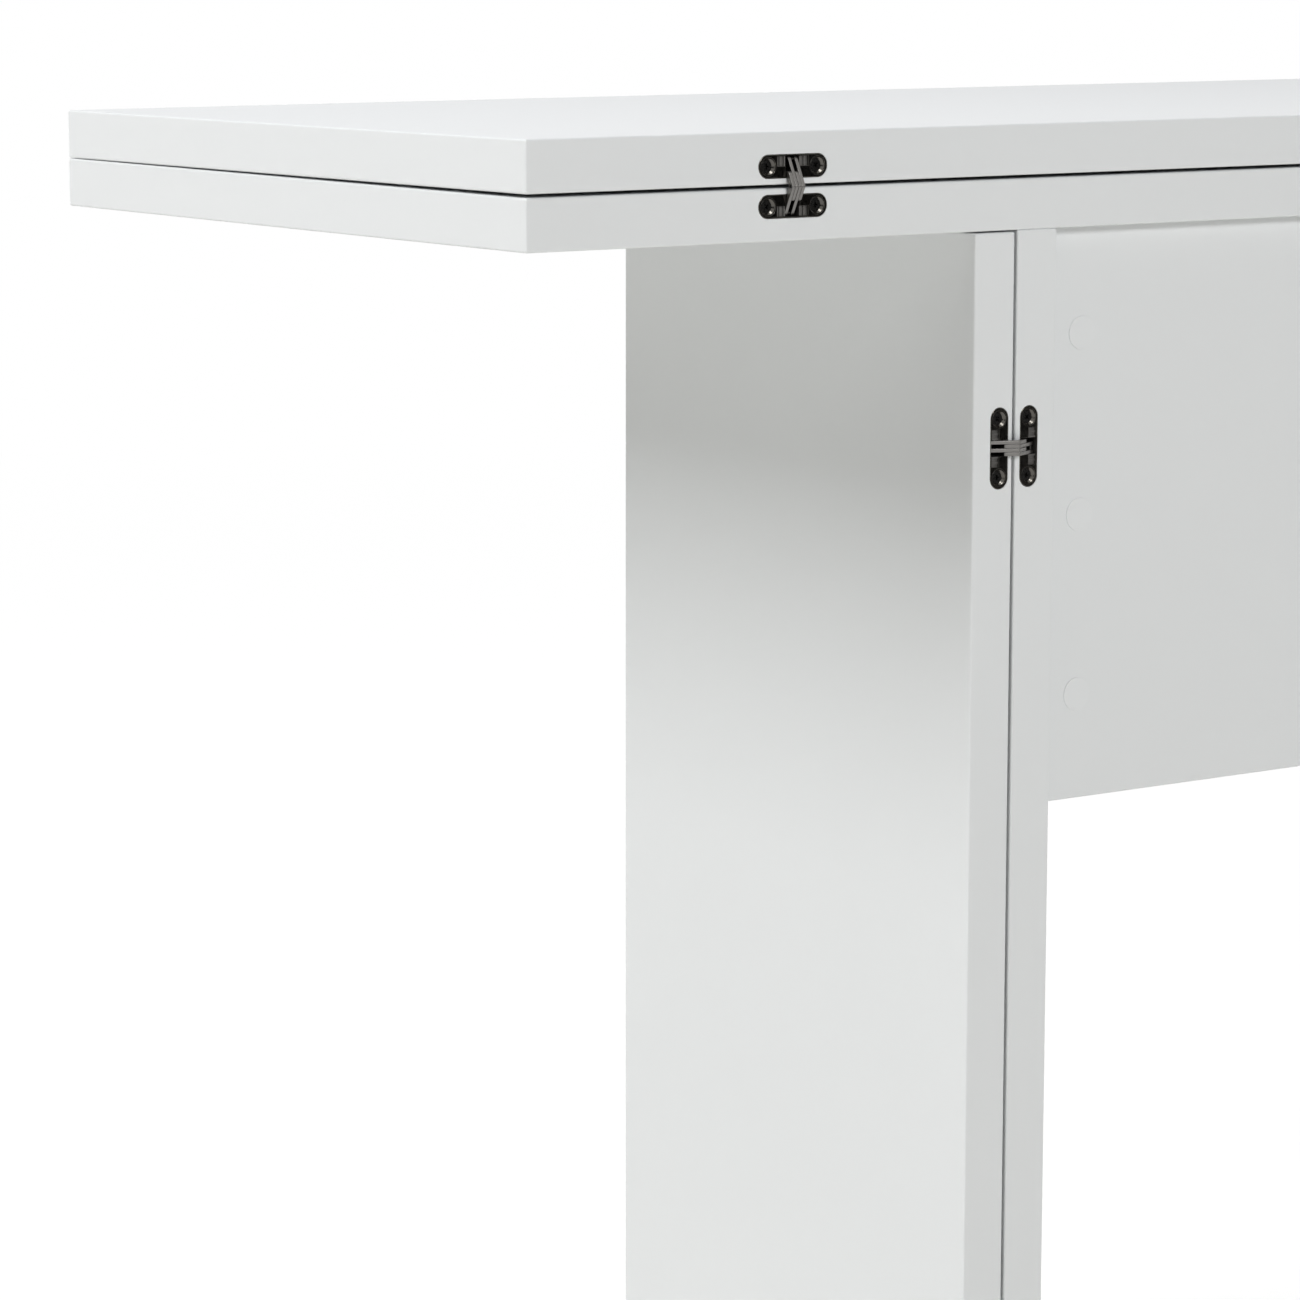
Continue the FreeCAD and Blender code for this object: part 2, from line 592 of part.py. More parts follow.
# Fittings, glides and pads
node("cam_fittings", compound("cam_fittings", copies(cam, cam_spots)))
node("cam_bolts", compound("cam_bolts", copies(cam_bolt, bolt_spots)))
node("dowels", compound("dowels", copies(dowel, dowel_spots)))
node("cover_caps", compound("cover_caps", copies(cap, cam_spots)))
node("leaf_pads", compound("leaf_pads", copies(pad, pad_spots)))
inner_glides = glide_spots(-leg_middle_x) + glide_spots(leg_middle_x)
node("inner_leg_glides", compound("inner_leg_glides", copies(glide, inner_glides)))
node("outer_leg_left_glides", compound("outer_leg_left_glides", copies(glide, glide_spots(-outer_middle_x))))
node("outer_leg_right_glides", compound("outer_leg_right_glides", copies(glide, glide_spots(outer_middle_x))))

# Hinge halves on the fixed boards
base_sides = fixed_side(top_frames) + fixed_side(left_frames) + fixed_side(right_frames)
node("base_pivot_pins", compound("base_pivot_pins", copies(pivot_pin, base_sides)))
node("base_hinge_screws", compound("base_hinge_screws", copies(screw, screws_of(base_sides))))

# Every hinge line: its housings, and the pins, screws and links of both halves
LINES = (
    ("top", top_frames, "lower", "upper", "upper_leaf", TILT),
    ("left_leg", left_frames, "inner", "outer", "outer_leg_left", None),
    ("right_leg", right_frames, "inner", "outer", "outer_leg_right", None),
)
for line, frames, still, swung, board_name, shift in LINES:
    for spot, frame in frames.items():
        label = f"{line}_hinge_{spot}_{still}_housing"
        node(label, compound(label, copies(housing, [frame])))
        label = f"{line}_hinge_{spot}_{swung}_housing"
        node(label, compound(label, copies(housing, [frame * FLIP])), shift)
    moved = moving_side(frames)
    label = f"{board_name}_pivot_pins"
    node(label, compound(label, copies(pivot_pin, moved)), shift)
    label = f"{board_name}_hinge_screws"
    node(label, compound(label, copies(screw, screws_of(moved))), shift)
    for half, sides, turn in ((still, fixed_side(frames), None), (swung, moved, shift)):
        label = f"{line}_{half}_links"
        node(label, compound(label, copies(plate, plates_of(sides))), turn)
        label = f"{line}_{half}_slide_pins"
        node(label, compound(label, copies(slide_pin, slide_pins_of(sides))), turn)
        label = f"{line}_{half}_centre_rivets"
        node(label, compound(label, copies(rivet, plates_of(sides))), turn)

doc.recompute()

for obj in doc.Objects:
    if "Invalid" in obj.State or "Error" in obj.State:
        raise RuntimeError(f"{obj.Label} did not build: {obj.State}")
os.makedirs("parts", exist_ok=True)
for obj in nodes:
    if obj.Shape.isNull() or not obj.Shape.isValid():
        raise RuntimeError(f"{obj.Label} has no valid shape")
    obj.Shape.exportStep(f"parts/{obj.Label}.step")
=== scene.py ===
import json
import math
from contextlib import contextmanager
from types import SimpleNamespace

import bmesh
import bpy
from bpy.props import FloatProperty, FloatVectorProperty, PointerProperty
from mathutils import Matrix, Vector


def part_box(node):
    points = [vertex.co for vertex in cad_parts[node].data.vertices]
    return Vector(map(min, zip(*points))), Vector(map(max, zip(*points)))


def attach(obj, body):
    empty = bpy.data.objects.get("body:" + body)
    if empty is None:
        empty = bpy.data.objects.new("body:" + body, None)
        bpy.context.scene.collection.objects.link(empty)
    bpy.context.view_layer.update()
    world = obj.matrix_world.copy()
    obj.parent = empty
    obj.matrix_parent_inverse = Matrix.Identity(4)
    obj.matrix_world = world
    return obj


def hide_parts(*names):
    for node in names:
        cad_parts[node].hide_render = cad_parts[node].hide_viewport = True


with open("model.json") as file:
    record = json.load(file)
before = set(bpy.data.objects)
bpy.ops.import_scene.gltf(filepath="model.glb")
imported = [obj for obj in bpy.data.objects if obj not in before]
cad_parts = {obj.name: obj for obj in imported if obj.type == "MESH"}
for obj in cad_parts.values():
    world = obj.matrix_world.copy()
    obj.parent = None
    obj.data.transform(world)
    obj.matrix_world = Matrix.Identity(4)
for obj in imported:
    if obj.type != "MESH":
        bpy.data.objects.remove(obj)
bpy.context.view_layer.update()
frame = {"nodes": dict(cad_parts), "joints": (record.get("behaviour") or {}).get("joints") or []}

bl_info = {
    "name": "Book-fold table",
    "version": (1, 0, 0),
    "blender": (4, 5, 0),
    "location": "View3D > Sidebar > Table",
    "description": "Finishes a white book-fold table with concealed link hinges and swinging leg panels",
    "category": "Object",
}

MM = 0.001
WHITE = (1.0, 1.0, 1.0, 1.0)
# Vertices nearer than this are at one place, in the units of the piece
SAME_PLACE = 1e-4
# A cutter reaches this far past the surface that it opens, in millimetres
OVERSHOOT = 1.0
# Sides of the round pieces, by their size
CAP_SIDES, SIDES, SMALL_SIDES = 96, 64, 32
# Small pockets beside the links, on each side of a housing
RIB_POCKETS = 2
# Raw cast metal begins this far below the face of a housing, in metres
RAW_START = 0.4 * MM
# Side of the floor, and how far the camera sees, in metres
FLOOR_SIDE, SIGHT = 120.0, 200.0

JOINTS = {joint["name"]: joint for joint in frame["joints"]}
FOLD_POINT = Vector(JOINTS["leaf_unfold"]["pos_m"])
HOUSING_LOW, HOUSING_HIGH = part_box("top_hinge_left_lower_housing")
HOUSING_SIZE = HOUSING_HIGH - HOUSING_LOW
BOARDS = ("lower_leaf", "upper_leaf", "apron", "inner_leg_left", "inner_leg_right",
          "outer_leg_left", "outer_leg_right")


def leg_line(side, turn):
    """The line of hinges between the two panels of a leg."""
    return SimpleNamespace(
        joint=f"{side}_leg_swing", hinges=("upper", "lower"), still="inner", swung="outer",
        body=f"{side}_leg", board=f"outer_leg_{side}", turn=turn, axis="z")


# Lines of hinges: names of the two halves, body and board that swing, turn about Y, axis of the fold
HINGE_LINES = {
    "top": SimpleNamespace(
        joint="leaf_unfold", hinges=("left", "middle", "right"), still="lower", swung="upper",
        body="upper_leaf", board="upper_leaf", turn=0.0, axis="x"),
    "left_leg": leg_line("left", -90.0),
    "right_leg": leg_line("right", 90.0),
}
# Between the two hinges that the camera sees
HINGES_SEEN = (-0.38, -0.244, 0.65)
# Soft boxes: place, target, width and height in metres
LAMPS = {
    "key": ((-7.2, 1.75, 5.95), (-0.355, 0.0, 0.5), 3.3, 4.0),
    "top": ((-1.15, 0.2, 2.95), (-0.3, 0.0, 0.7), 2.0, 2.0),
    "front": ((-0.3, -4.2, 2.45), (-0.3, -0.24, 0.6), 1.0, 1.0),
    "side": ((5.5, 1.2, 0.65), (0.3, 0.0, 0.5), 2.0, 1.0),
    "glint": ((-1.06, -1.33, 3.0), HINGES_SEEN, 0.9, 0.9),
}
GLOSS_ONLY = ("glint",)
# Black cards that only the gloss shows, facing the hinges: place, width and height in metres
CARDS = {
    "card_right": ((1.25, -2.5, 0.55), 2.0, 1.1),
    "card_left": ((-3.0, -1.75, 1.1), 3.0, 2.2),
    "card_above": ((0.95, -0.6, 2.35), 1.6, 1.6),
}


def length(name, description, default):
    """A length that the user may change, in metres."""
    return FloatProperty(name=name, description=description, default=default, min=0.0,
                         unit="LENGTH", subtype="DISTANCE", precision=5)


def share(name, description, default):
    """A number from 0 to 1 that the user may change."""
    return FloatProperty(name=name, description=description, default=default, min=0.0, max=1.0,
                         subtype="FACTOR")


def colour(name, description, default):
    """A colour that the user may change."""
    return FloatVectorProperty(name=name, description=description, default=default, size=3, min=0.0,
                               max=1.0, subtype="COLOR")


def power(name, description, default):
    """The power of a lamp that the user may change, in watts."""
    return FloatProperty(name=name, description=description, default=default, min=0.0, unit="POWER")


def angle(name, description, degrees):
    """An angle that the user may change."""
    return FloatProperty(name=name, description=description, default=math.radians(degrees),
                         unit="ROTATION", subtype="ANGLE")


class FOLDTABLE_PG_hinges(bpy.types.PropertyGroup):
    """Sizes of the concealed link hinges."""

    length: length("Length", "Housing along the fold axis", HOUSING_SIZE.x)
    width: length("Width", "Housing across the board edge", HOUSING_SIZE.z)
    depth: length("Depth", "Housing into the board", HOUSING_SIZE.y)
    near: length("Near edge", "Fold axis to the near side of a housing", FOLD_POINT.z - HOUSING_HIGH.z)
    face: length("Face", "Fold axis to the face of a housing", HOUSING_LOW.y - FOLD_POINT.y)
    flange_depth: length("Flange depth", "Thickness of the round-ended flange", 7 * MM)
    block_length: length("Block length", "Deeper middle of a housing along the fold axis", 27 * MM)
    rim_radius: length("Rim radius", "Rounding round the housing's face", 0.5 * MM)
    edge_bevel: length("Edge bevel", "Small rounding of the cast edges", 0.14 * MM)
    slot_length: length("Pocket length", "Pocket for the links along the fold axis", 9.4 * MM)
    slot_depth: length("Pocket depth", "Pocket for the links into the board", 17.6 * MM)
    slot_near_wall: length("Near wall", "Wall of the pocket towards the gap", 0.8 * MM)
    slot_far_wall: length("Far wall", "Wall of the pocket away from the gap", 0.4 * MM)
    notch_depth: length("Notch depth", "Notch of the near wall under the links", 6.4 * MM)
    rib_thickness: length("Rib thickness", "Ribs beside the pocket", 0.9 * MM)
    rib_pocket_width: length("Rib pocket width", "Small pockets between the ribs", 1.9 * MM)
    rib_pocket_depth: length("Rib pocket depth", "Depth of the small pockets", 1.4 * MM)
    rib_pocket_rim: length("Rib pocket rim", "Rim beyond the small pockets", 1.1 * MM)
    rib_sink: length("Rib sink", "Rib below the face of the housing", 0.7 * MM)
    screw_span: length("Screw span", "Between the two screws of a housing", 32.5 * MM)
    seat_diameter: length("Screw seat", "Mouth of a screw seat", 10 * MM)
    seat_depth: length("Screw seat depth", "Depth of a screw seat above its screw", 1.6 * MM)
    head_diameter: length("Screw head", "Diameter of a screw head", 7 * MM)
    head_height: length("Screw head height", "Height of a screw head", 2 * MM)
    head_sink: length("Screw head sink", "Screw head below the floor of its seat", 0.2 * MM)
    shank_diameter: length("Screw shank", "Diameter of a screw", 3.5 * MM)
    screw_length: length("Screw length", "Length of a screw", 22 * MM)
    thread_pitch: length("Thread pitch", "Between two turns of the screw thread", 1.5 * MM)
    recess_length: length("Cross recess", "Across the cross recess of a screw", 4.2 * MM)
    recess_width: length("Recess width", "Width of one arm of the cross recess", 0.9 * MM)
    recess_depth: length("Recess depth", "Depth of the cross recess", 1.6 * MM)
    screw_clearance: length("Screw clearance", "Play round a screw", 0.15 * MM)
    plate_thickness: length("Link thickness", "Thickness of a link plate", 2 * MM)
    plate_half_width: length("Link half width", "Half the width of a link plate", 1.5 * MM)
    plate_bevel: length("Link bevel", "Broken edge of a link plate", 0.2 * MM)
    pair_pitch: length("Pair pitch", "Between neighbouring link plates", 2.15 * MM)
    group_pitch: length("Group pitch", "Between the two plates of one set", 4.4 * MM)
    pivot_depth: length("Pivot depth", "Fold axis to the pivot pin, into the board", 4 * MM)
    pivot_inset: length("Pivot inset", "Near side of the housing to the pivot pin", 1.7 * MM)
    elbow_height: length("Elbow height", "Link elbow in front of the fold axis", 0.35 * MM)
    elbow_inset: length("Elbow inset", "Near side of the housing to the link elbow", 2.2 * MM)
    knuckle_height: length("Knuckle height", "Link knuckle in front of the fold axis", 3.5 * MM)
    slide_depth: length("Slide depth", "Fold axis to the slide pin, into the board", 3.5 * MM)
    slide_inset: length("Slide inset", "Far side of the housing to the slide pin", 2.7 * MM)
    pivot_radius: length("Pivot pin radius", "Radius of a pivot pin", 1 * MM)
    pivot_length: length("Pivot pin length", "Length of a pivot pin", 13 * MM)
    slide_radius: length("Slide pin radius", "Radius of a slide pin", 0.9 * MM)
    rivet_radius: length("Rivet radius", "Radius of a knuckle rivet", 1 * MM)
    rivet_proud: length("Rivet stand", "Rivet head above its plate", 0.05 * MM)
    pin_clearance: length("Pin clearance", "Play round a pin", 0.05 * MM)
    pin_bevel: length("Pin bevel", "Broken edge at a pin's ends", 0.2 * MM)


class FOLDTABLE_PG_fittings(bpy.types.PropertyGroup):
    """Sizes and places of the caps, glides and pads."""

    cap_diameter: length("Cap diameter", "Cover cap over a cam fitting", 19 * MM)
    cap_thickness: length("Cap thickness", "Cover cap above the board", 0.5 * MM)
    cap_edge: length("Cap edge", "Rounding of a cap's edge", 0.25 * MM)
    cap_rim: length("Cap rim", "Rim round the dish of a cap", 1.2 * MM)
    cap_dish: length("Cap dish", "Shallow dish of a cap's face", 0.06 * MM)
    cam_distance: length("Cam distance", "Board end to a cam's middle", 27.5 * MM)
    cam_end_margin: length("Cam margin", "Apron edge to its first cam", 60 * MM)
    top_cam_margin: length("Top cam margin", "Leg edge to its top cams", 70 * MM)
    glide_diameter: length("Glide diameter", "Foot of a glide", 22 * MM)
    glide_height: length("Glide height", "Foot of a glide", 5 * MM)
    glide_edge: length("Glide edge", "Rounding of a glide's foot", 1.5 * MM)
    glide_rim: length("Glide rim", "Ring that a glide stands on", 5 * MM)
    glide_hollow: length("Glide hollow", "Depth of the hollow in a glide's foot", 1.2 * MM)
    glide_stem_diameter: length("Stem diameter", "Stem of a glide", 8 * MM)
    glide_stem_length: length("Stem length", "Stem of a glide", 12 * MM)
    glide_margin: length("Glide margin", "Leg edge to a glide's middle", 40 * MM)
    pad_diameter: length("Pad diameter", "Pad between the leaves", 12 * MM)
    pad_thickness: length("Pad thickness", "Pad between the leaves", 0.36 * MM)
    pad_margin: length("Pad margin", "Leaf edge to a pad's middle", 20 * MM)


class FOLDTABLE_PG_finishes(bpy.types.PropertyGroup):
    """Colours and gloss of the table's surfaces."""

    lacquer: colour("Lacquer", "Satin white lacquer of the boards", (0.80, 0.817, 0.829))
    lacquer_roughness: share("Lacquer roughness", "Satin of the lacquer", 0.42)
    casting: colour("Casting", "Dark plating of the hinge housings", (0.11, 0.107, 0.102))
    casting_roughness: share("Casting roughness", "Gloss of the hinge housings", 0.14)
    raw: colour("Raw casting", "Rough metal inside the pockets of a housing", (0.11, 0.106, 0.10))
    raw_roughness: share("Raw roughness", "Dullness added inside the pockets", 0.45)
    links: colour("Links", "Stamped steel of the link plates", (0.21, 0.202, 0.192))
    links_roughness: share("Link roughness", "Gloss of the link plates", 0.3)
    screws: colour("Screws", "Dark plating of the screws", (0.022, 0.0212, 0.0202))
    pins: colour("Pins", "Turned steel of the pins", (0.05, 0.048, 0.045))
    zinc: colour("Zinc", "Cams and bolts inside the boards", (0.52, 0.52, 0.53))
    beech: colour("Beech", "Dowels inside the boards", (0.58, 0.38, 0.21))
    caps: colour("Caps", "Moulded cover caps", (0.806, 0.822, 0.834))
    glides: colour("Glides", "Moulded glides", (0.55, 0.55, 0.53))
    pads: colour("Pads", "Soft clear pads", (0.72, 0.74, 0.74))


class FOLDTABLE_PG_stage(bpy.types.PropertyGroup):
    """Camera, lamps, floor and cards."""

    camera_from_corner: FloatVectorProperty(
        name="Camera place", description="Camera from the lower leaf's near left bottom corner",
        default=(-1.318422, -1.975073, 0.168540), size=3, unit="LENGTH", subtype="TRANSLATION")
    yaw: angle("Yaw", "Camera turned to the right of the table's depth", 35.2546)
    pitch: angle("Pitch", "Camera tilted down", 8.9261)
    roll: angle("Roll", "Camera turned about its line of sight", 0.0552)
    lens: FloatProperty(name="Lens", description="Focal length", default=128.89, unit="CAMERA")
    sensor: FloatProperty(name="Sensor", description="Sensor width", default=36.0, unit="CAMERA")
    sky: share("Sky", "Even light of the room", 0.13)
    key: power("Key lamp", "Tall soft box on the left", 510.0)
    top: power("Top lamp", "Wide soft box overhead", 16.0)
    front: power("Front lamp", "Soft box in front", 79.0)
    side: power("Side lamp", "Soft box on the right", 100.0)
    glint: power("Glint lamp", "Small soft box that only the gloss shows", 23.0)
    floor: colour("Floor", "Pale floor that throws light back", (0.86, 0.849, 0.80))
    floor_reach: length("Floor reach", "How far from the table the floor keeps a shadow", 5.0)
    floor_glow: share("Floor glow", "Even white of the floor where it is seen", 0.9)
    floor_shade: share("Floor shade", "Lightness of the seen floor that its shadows take away", 0.2)
    card: colour("Cards", "Black cards that the dark metal mirrors", (0.012, 0.012, 0.012))


class Wire:
    """An output socket of a finish; arithmetic with it adds Math nodes."""

    def __init__(self, finish, socket):
        self.finish = finish
        self.socket = socket

    def math(self, operation, *values):
        return self.finish.node("ShaderNodeMath", {"operation": operation}, dict(enumerate(values)))

    def __add__(self, other):
        return self.math("ADD", self, other)

    def __radd__(self, other):
        return self.math("ADD", other, self)

    def __sub__(self, other):
        return self.math("SUBTRACT", self, other)

    def __rsub__(self, other):
        return self.math("SUBTRACT", other, self)

    def __mul__(self, other):
        return self.math("MULTIPLY", self, other)

    def __rmul__(self, other):
        return self.math("MULTIPLY", other, self)

    def or_more(self, other):
        return self.math("MAXIMUM", self, other)

    def above(self, level):
        return self.math("GREATER_THAN", self, level)

    def within(self, reach):
        return self.math("LESS_THAN", self.math("ABSOLUTE", self), reach)

    def wrapped(self, span):
        return self.math("WRAP", self, span / 2, -span / 2)


class Finish:
    """The node tree of a material or world, with one way to add nodes."""

    def __init__(self, owner):
        owner.use_nodes = True
        self.owner = owner
        self.tree = owner.node_tree

    def feed(self, socket, value):
        """Link a wire to a socket, or set the socket's value."""
        if isinstance(value, Wire):
            self.tree.links.new(value.socket, socket)
        else:
            socket.default_value = value

    def node(self, kind, settings=None, inputs=None, output=0):
        """Add a node: its settings first, then the values or wires of its sockets."""
        made = self.tree.nodes.new(kind)
        for key, value in (settings or {}).items():
            setattr(made, key, value)
        for key, value in (inputs or {}).items():
            self.feed(made.inputs[key], value)
        return Wire(self, made.outputs[output])

    def place(self, scale=(1.0, 1.0, 1.0)):
        """Object coordinates, stretched by a scale along each axis."""
        coordinates = self.node("ShaderNodeTexCoord", output="Object")
        return self.node("ShaderNodeMapping", inputs={"Vector": coordinates, "Scale": scale})

    def along(self, axis):
        """One of the object coordinates."""
        return self.node("ShaderNodeSeparateXYZ", inputs={"Vector": self.place()}, output=axis.upper())

    def noise(self, place, scale, detail, roughness=0.5):
        """Soft noise from 0 to 1."""
        inputs = {"Vector": place, "Scale": scale, "Detail": detail, "Roughness": roughness}
        return self.node("ShaderNodeTexNoise", {"noise_dimensions": "3D"}, inputs, "Fac")

    def blend(self, factor, first, second):
        """Colour between two colours."""
        return self.node("ShaderNodeMix", {"data_type": "RGBA"}, {0: factor, 6: first, 7: second}, 2)

    def tinted(self, pattern, tone, dark, light):
        """A colour that a pattern from 0 to 1 takes from darker to lighter."""
        return self.blend(pattern, shade(tone, dark), shade(tone, light))

    def bump(self, height, depth, strength):
        """Normal from a height, with the depth of its relief in metres."""
        inputs = {"Height": height, "Distance": depth, "Strength": strength}
        return self.node("ShaderNodeBump", inputs=inputs, output="Normal")

    def layer(self, factor, first, second):
        """Shader between two shaders."""
        return self.node("ShaderNodeMixShader", inputs={0: factor, 1: first, 2: second})

    def seen(self):
        """1 for rays that show the background: straight, mirrored or through glass."""
        straight = self.node("ShaderNodeLightPath", output="Is Camera Ray")
        mirrored = self.node("ShaderNodeLightPath", output="Is Glossy Ray")
        through = self.node("ShaderNodeLightPath", output="Is Transmission Ray")
        return straight.or_more(mirrored).or_more(through)

    def surface(self, **inputs):
        """Set or link the sockets of the main shader, with spaces written as underscores."""
        shader = self.tree.nodes["Principled BSDF"]
        for key, value in inputs.items():
            self.feed(shader.inputs[key.replace("_", " ")], value)


def shade(tone, factor):
    """A colour made darker or lighter, with full alpha."""
    return tuple(min(1.0, part * factor) for part in tone) + (1.0,)


def around(level, pattern, spread):
    """A level that a pattern from 0 to 1 moves by half the spread each way."""
    return level + (pattern - 0.5) * spread


def new_finish(name):
    """An empty material to work on."""
    return Finish(bpy.data.materials.new(name))


def lacquer_finish(colours):
    """Sprayed satin lacquer: faint cloudiness, fine orange peel."""
    finish = new_finish("white_lacquer")
    place = finish.place()
    cloud = finish.noise(place, scale=2.6, detail=3.0)
    peel = finish.noise(place, scale=420.0, detail=2.0)
    grain = finish.noise(place, scale=2400.0, detail=1.0)
    satin = around(colours.lacquer_roughness, cloud, spread=0.06)
    finish.surface(
        Base_Color=finish.tinted(cloud, colours.lacquer, dark=0.988, light=1.008),
        Roughness=around(satin, grain, spread=0.05),
        Specular_IOR_Level=0.45,
        Normal=finish.bump(peel * 0.7 + grain * 0.3, depth=0.04 * MM, strength=0.35))
    return finish.owner


def cast_finish(colours, axis, places, raw_reach):
    """Dark plated casting: mottled gloss, a faint skin, and rough cast metal inside the pockets."""
    finish = new_finish(f"hinge_casting_{axis}")
    place = finish.place()
    mottle = finish.noise(place, scale=260.0, detail=4.0, roughness=0.6)
    skin = finish.noise(place, scale=2600.0, detail=3.0)
    first, second = (hinge.translation["xyz".index(axis)] for hinge in places[:2])
    from_middle = (finish.along(axis) - first).wrapped(abs(second - first))
    below_face = finish.along("y").above(HOUSING_LOW.y + RAW_START)
    raw = from_middle.within(raw_reach) * below_face
    warmth = (1.12, 1.06, 0.95)
    warm = shade([part * factor for part, factor in zip(colours.casting, warmth)], 1.0)
    plated = finish.blend(mottle, shade(colours.casting, 0.8), warm)
    gloss = around(colours.casting_roughness, mottle, spread=0.1)
    finish.surface(
        Base_Color=finish.blend(raw, plated, finish.tinted(skin, colours.raw, dark=0.3, light=1.7)),
        Metallic=1.0,
        Roughness=gloss + raw * colours.raw_roughness,
        Normal=finish.bump(skin, depth=0.04 * MM, strength=0.45))
    return finish.owner


def link_finish(colours, axis):
    """Stamped steel with fine drawn lines along the plates."""
    finish = new_finish(f"link_steel_{axis}")
    fine, coarse = 5200.0, 130.0
    stretch = tuple(fine if name == axis else coarse for name in "xyz")
    lines = finish.noise(finish.place(stretch), scale=1.0, detail=3.0, roughness=0.6)
    stain = finish.noise(finish.place(), scale=420.0, detail=3.0)
    drawn = finish.tinted(lines, colours.links, dark=0.66, light=1.28)
    finish.surface(
        Base_Color=finish.blend(stain * 0.35, drawn, shade(colours.links, 0.6)),
        Metallic=1.0,
        Roughness=around(colours.links_roughness, lines, spread=0.25),
        Normal=finish.bump(lines, depth=0.03 * MM, strength=0.35))
    return finish.owner


def screw_finish(colours):
    """Dark plated screw with bright rubbed spots."""
    finish = new_finish("dark_screw")
    rubbed = finish.noise(finish.place(), scale=900.0, detail=3.0, roughness=0.6)
    finish.surface(
        Base_Color=finish.tinted(rubbed, colours.screws, dark=0.7, light=1.9),
        Metallic=1.0,
        Roughness=around(0.28, rubbed, spread=0.2),
        Normal=finish.bump(rubbed, depth=0.03 * MM, strength=0.3))
    return finish.owner


def pin_finish(colours):
    """Turned steel with a little oil stain."""
    finish = new_finish("pin_steel")
    stain = finish.noise(finish.place(), scale=700.0, detail=3.0)
    finish.surface(
        Base_Color=finish.tinted(stain, colours.pins, dark=0.55, light=1.15),
        Metallic=1.0,
        Roughness=around(0.3, stain, spread=0.2))
    return finish.owner


def zinc_finish(colours):
    """Die-cast zinc of the hidden fittings."""
    finish = new_finish("cam_zinc")
    skin = finish.noise(finish.place(), scale=800.0, detail=4.0)
    finish.surface(
        Base_Color=finish.tinted(skin, colours.zinc, dark=0.8, light=1.1),
        Metallic=1.0,
        Roughness=around(0.38, skin, spread=0.3),
        Normal=finish.bump(skin, depth=0.05 * MM, strength=0.4))
    return finish.owner


def beech_finish(colours):
    """Raw beech with short flecks along the grain."""
    finish = new_finish("dowel_beech")
    fleck = finish.noise(finish.place((900.0, 900.0, 90.0)), scale=1.0, detail=3.0)
    finish.surface(
        Base_Color=finish.tinted(fleck, colours.beech, dark=0.72, light=1.12),
        Roughness=around(0.6, fleck, spread=0.2),
        Normal=finish.bump(fleck, depth=0.1 * MM, strength=0.4))
    return finish.owner


def plastic_finish(name, tone, roughness):
    """Moulded plastic with a fine eroded texture."""
    finish = new_finish(name)
    place = finish.place()
    texture = finish.noise(place, scale=1700.0, detail=2.0)
    cloud = finish.noise(place, scale=60.0, detail=2.0)
    finish.surface(
        Base_Color=finish.tinted(cloud, tone, dark=0.985, light=1.01),
        Roughness=around(roughness, texture, spread=0.12),
        Normal=finish.bump(texture, depth=0.03 * MM, strength=0.3))
    return finish.owner


def in_mm(group):
    """The sizes of a property group in millimetres, in which the small pieces are modelled."""
    return SimpleNamespace(**{name: getattr(group, name) / MM for name in group.__annotations__})


def hinge_sizes(context):
    """The hinges' sizes in millimetres, with what follows from them."""
    hinge = in_mm(context.scene.foldtable_hinges)
    hinge.middle = hinge.near + hinge.width / 2
    hinge.far = hinge.near + hinge.width
    hinge.rib_pitch = hinge.rib_pocket_width + hinge.rib_thickness
    hinge.ribs_end = hinge.slot_length / 2 + RIB_POCKETS * hinge.rib_pitch
    last_plate = (hinge.group_pitch + hinge.pair_pitch) / 2
    hinge.plate_steps = [(step, 0.0, 0.0) for step in (last_plate - hinge.group_pitch, last_plate)]
    return hinge


def at(place):
    """The matrix that moves a piece to a place."""
    return Matrix.Translation(Vector(place))


def rotation(degrees, axis):
    """The matrix that turns a piece about an axis."""
    return Matrix.Rotation(math.radians(degrees), 4, axis)


def start(add, name, **settings):
    """Deselect everything, then add a primitive whose place and size are in its mesh."""
    bpy.ops.object.select_all(action="DESELECT")
    add(**settings)
    piece = bpy.context.object
    piece.name = name
    bpy.ops.object.transform_apply(location=True, rotation=True, scale=True)
    return piece


def block(name, low, high):
    """A block between two corners."""
    low, high = Vector(low), Vector(high)
    return start(bpy.ops.mesh.primitive_cube_add, name, size=1.0, location=(low + high) / 2,
                 scale=high - low)


@contextmanager
def editing(piece):
    """Edit mode on one piece, and object mode again afterwards."""
    bpy.ops.object.select_all(action="DESELECT")
    bpy.context.view_layer.objects.active = piece
    piece.select_set(True)
    bpy.ops.object.mode_set(mode="EDIT")
    yield
    bpy.ops.object.mode_set(mode="OBJECT")


def pick(piece, kind, wanted):
    """In edit mode, select only the vertices, edges or faces that are wanted."""
    bpy.ops.mesh.select_mode(type=kind)
    bpy.ops.mesh.select_all(action="DESELECT")
    mesh = bmesh.from_edit_mesh(piece.data)
    parts = {"VERT": mesh.verts, "EDGE": mesh.edges, "FACE": mesh.faces}[kind]
    found = [part for part in parts if wanted(part)]
    if not found:
        raise RuntimeError(f"{piece.name}: nothing to select")
    for part in found:
        part.select_set(True)
    mesh.select_flush_mode()
    bmesh.update_edit_mesh(piece.data)


def pick_all():
    """In edit mode, select the whole piece."""
    bpy.ops.mesh.select_all(action="SELECT")


def extrude(step):
    """In edit mode, extrude what is selected by a step."""
    bpy.ops.mesh.extrude_region_move(TRANSFORM_OT_translate={"value": step})


def taper(shares, center):
    """In edit mode, resize what is selected about a place."""
    bpy.ops.transform.resize(value=shares, center_override=center)


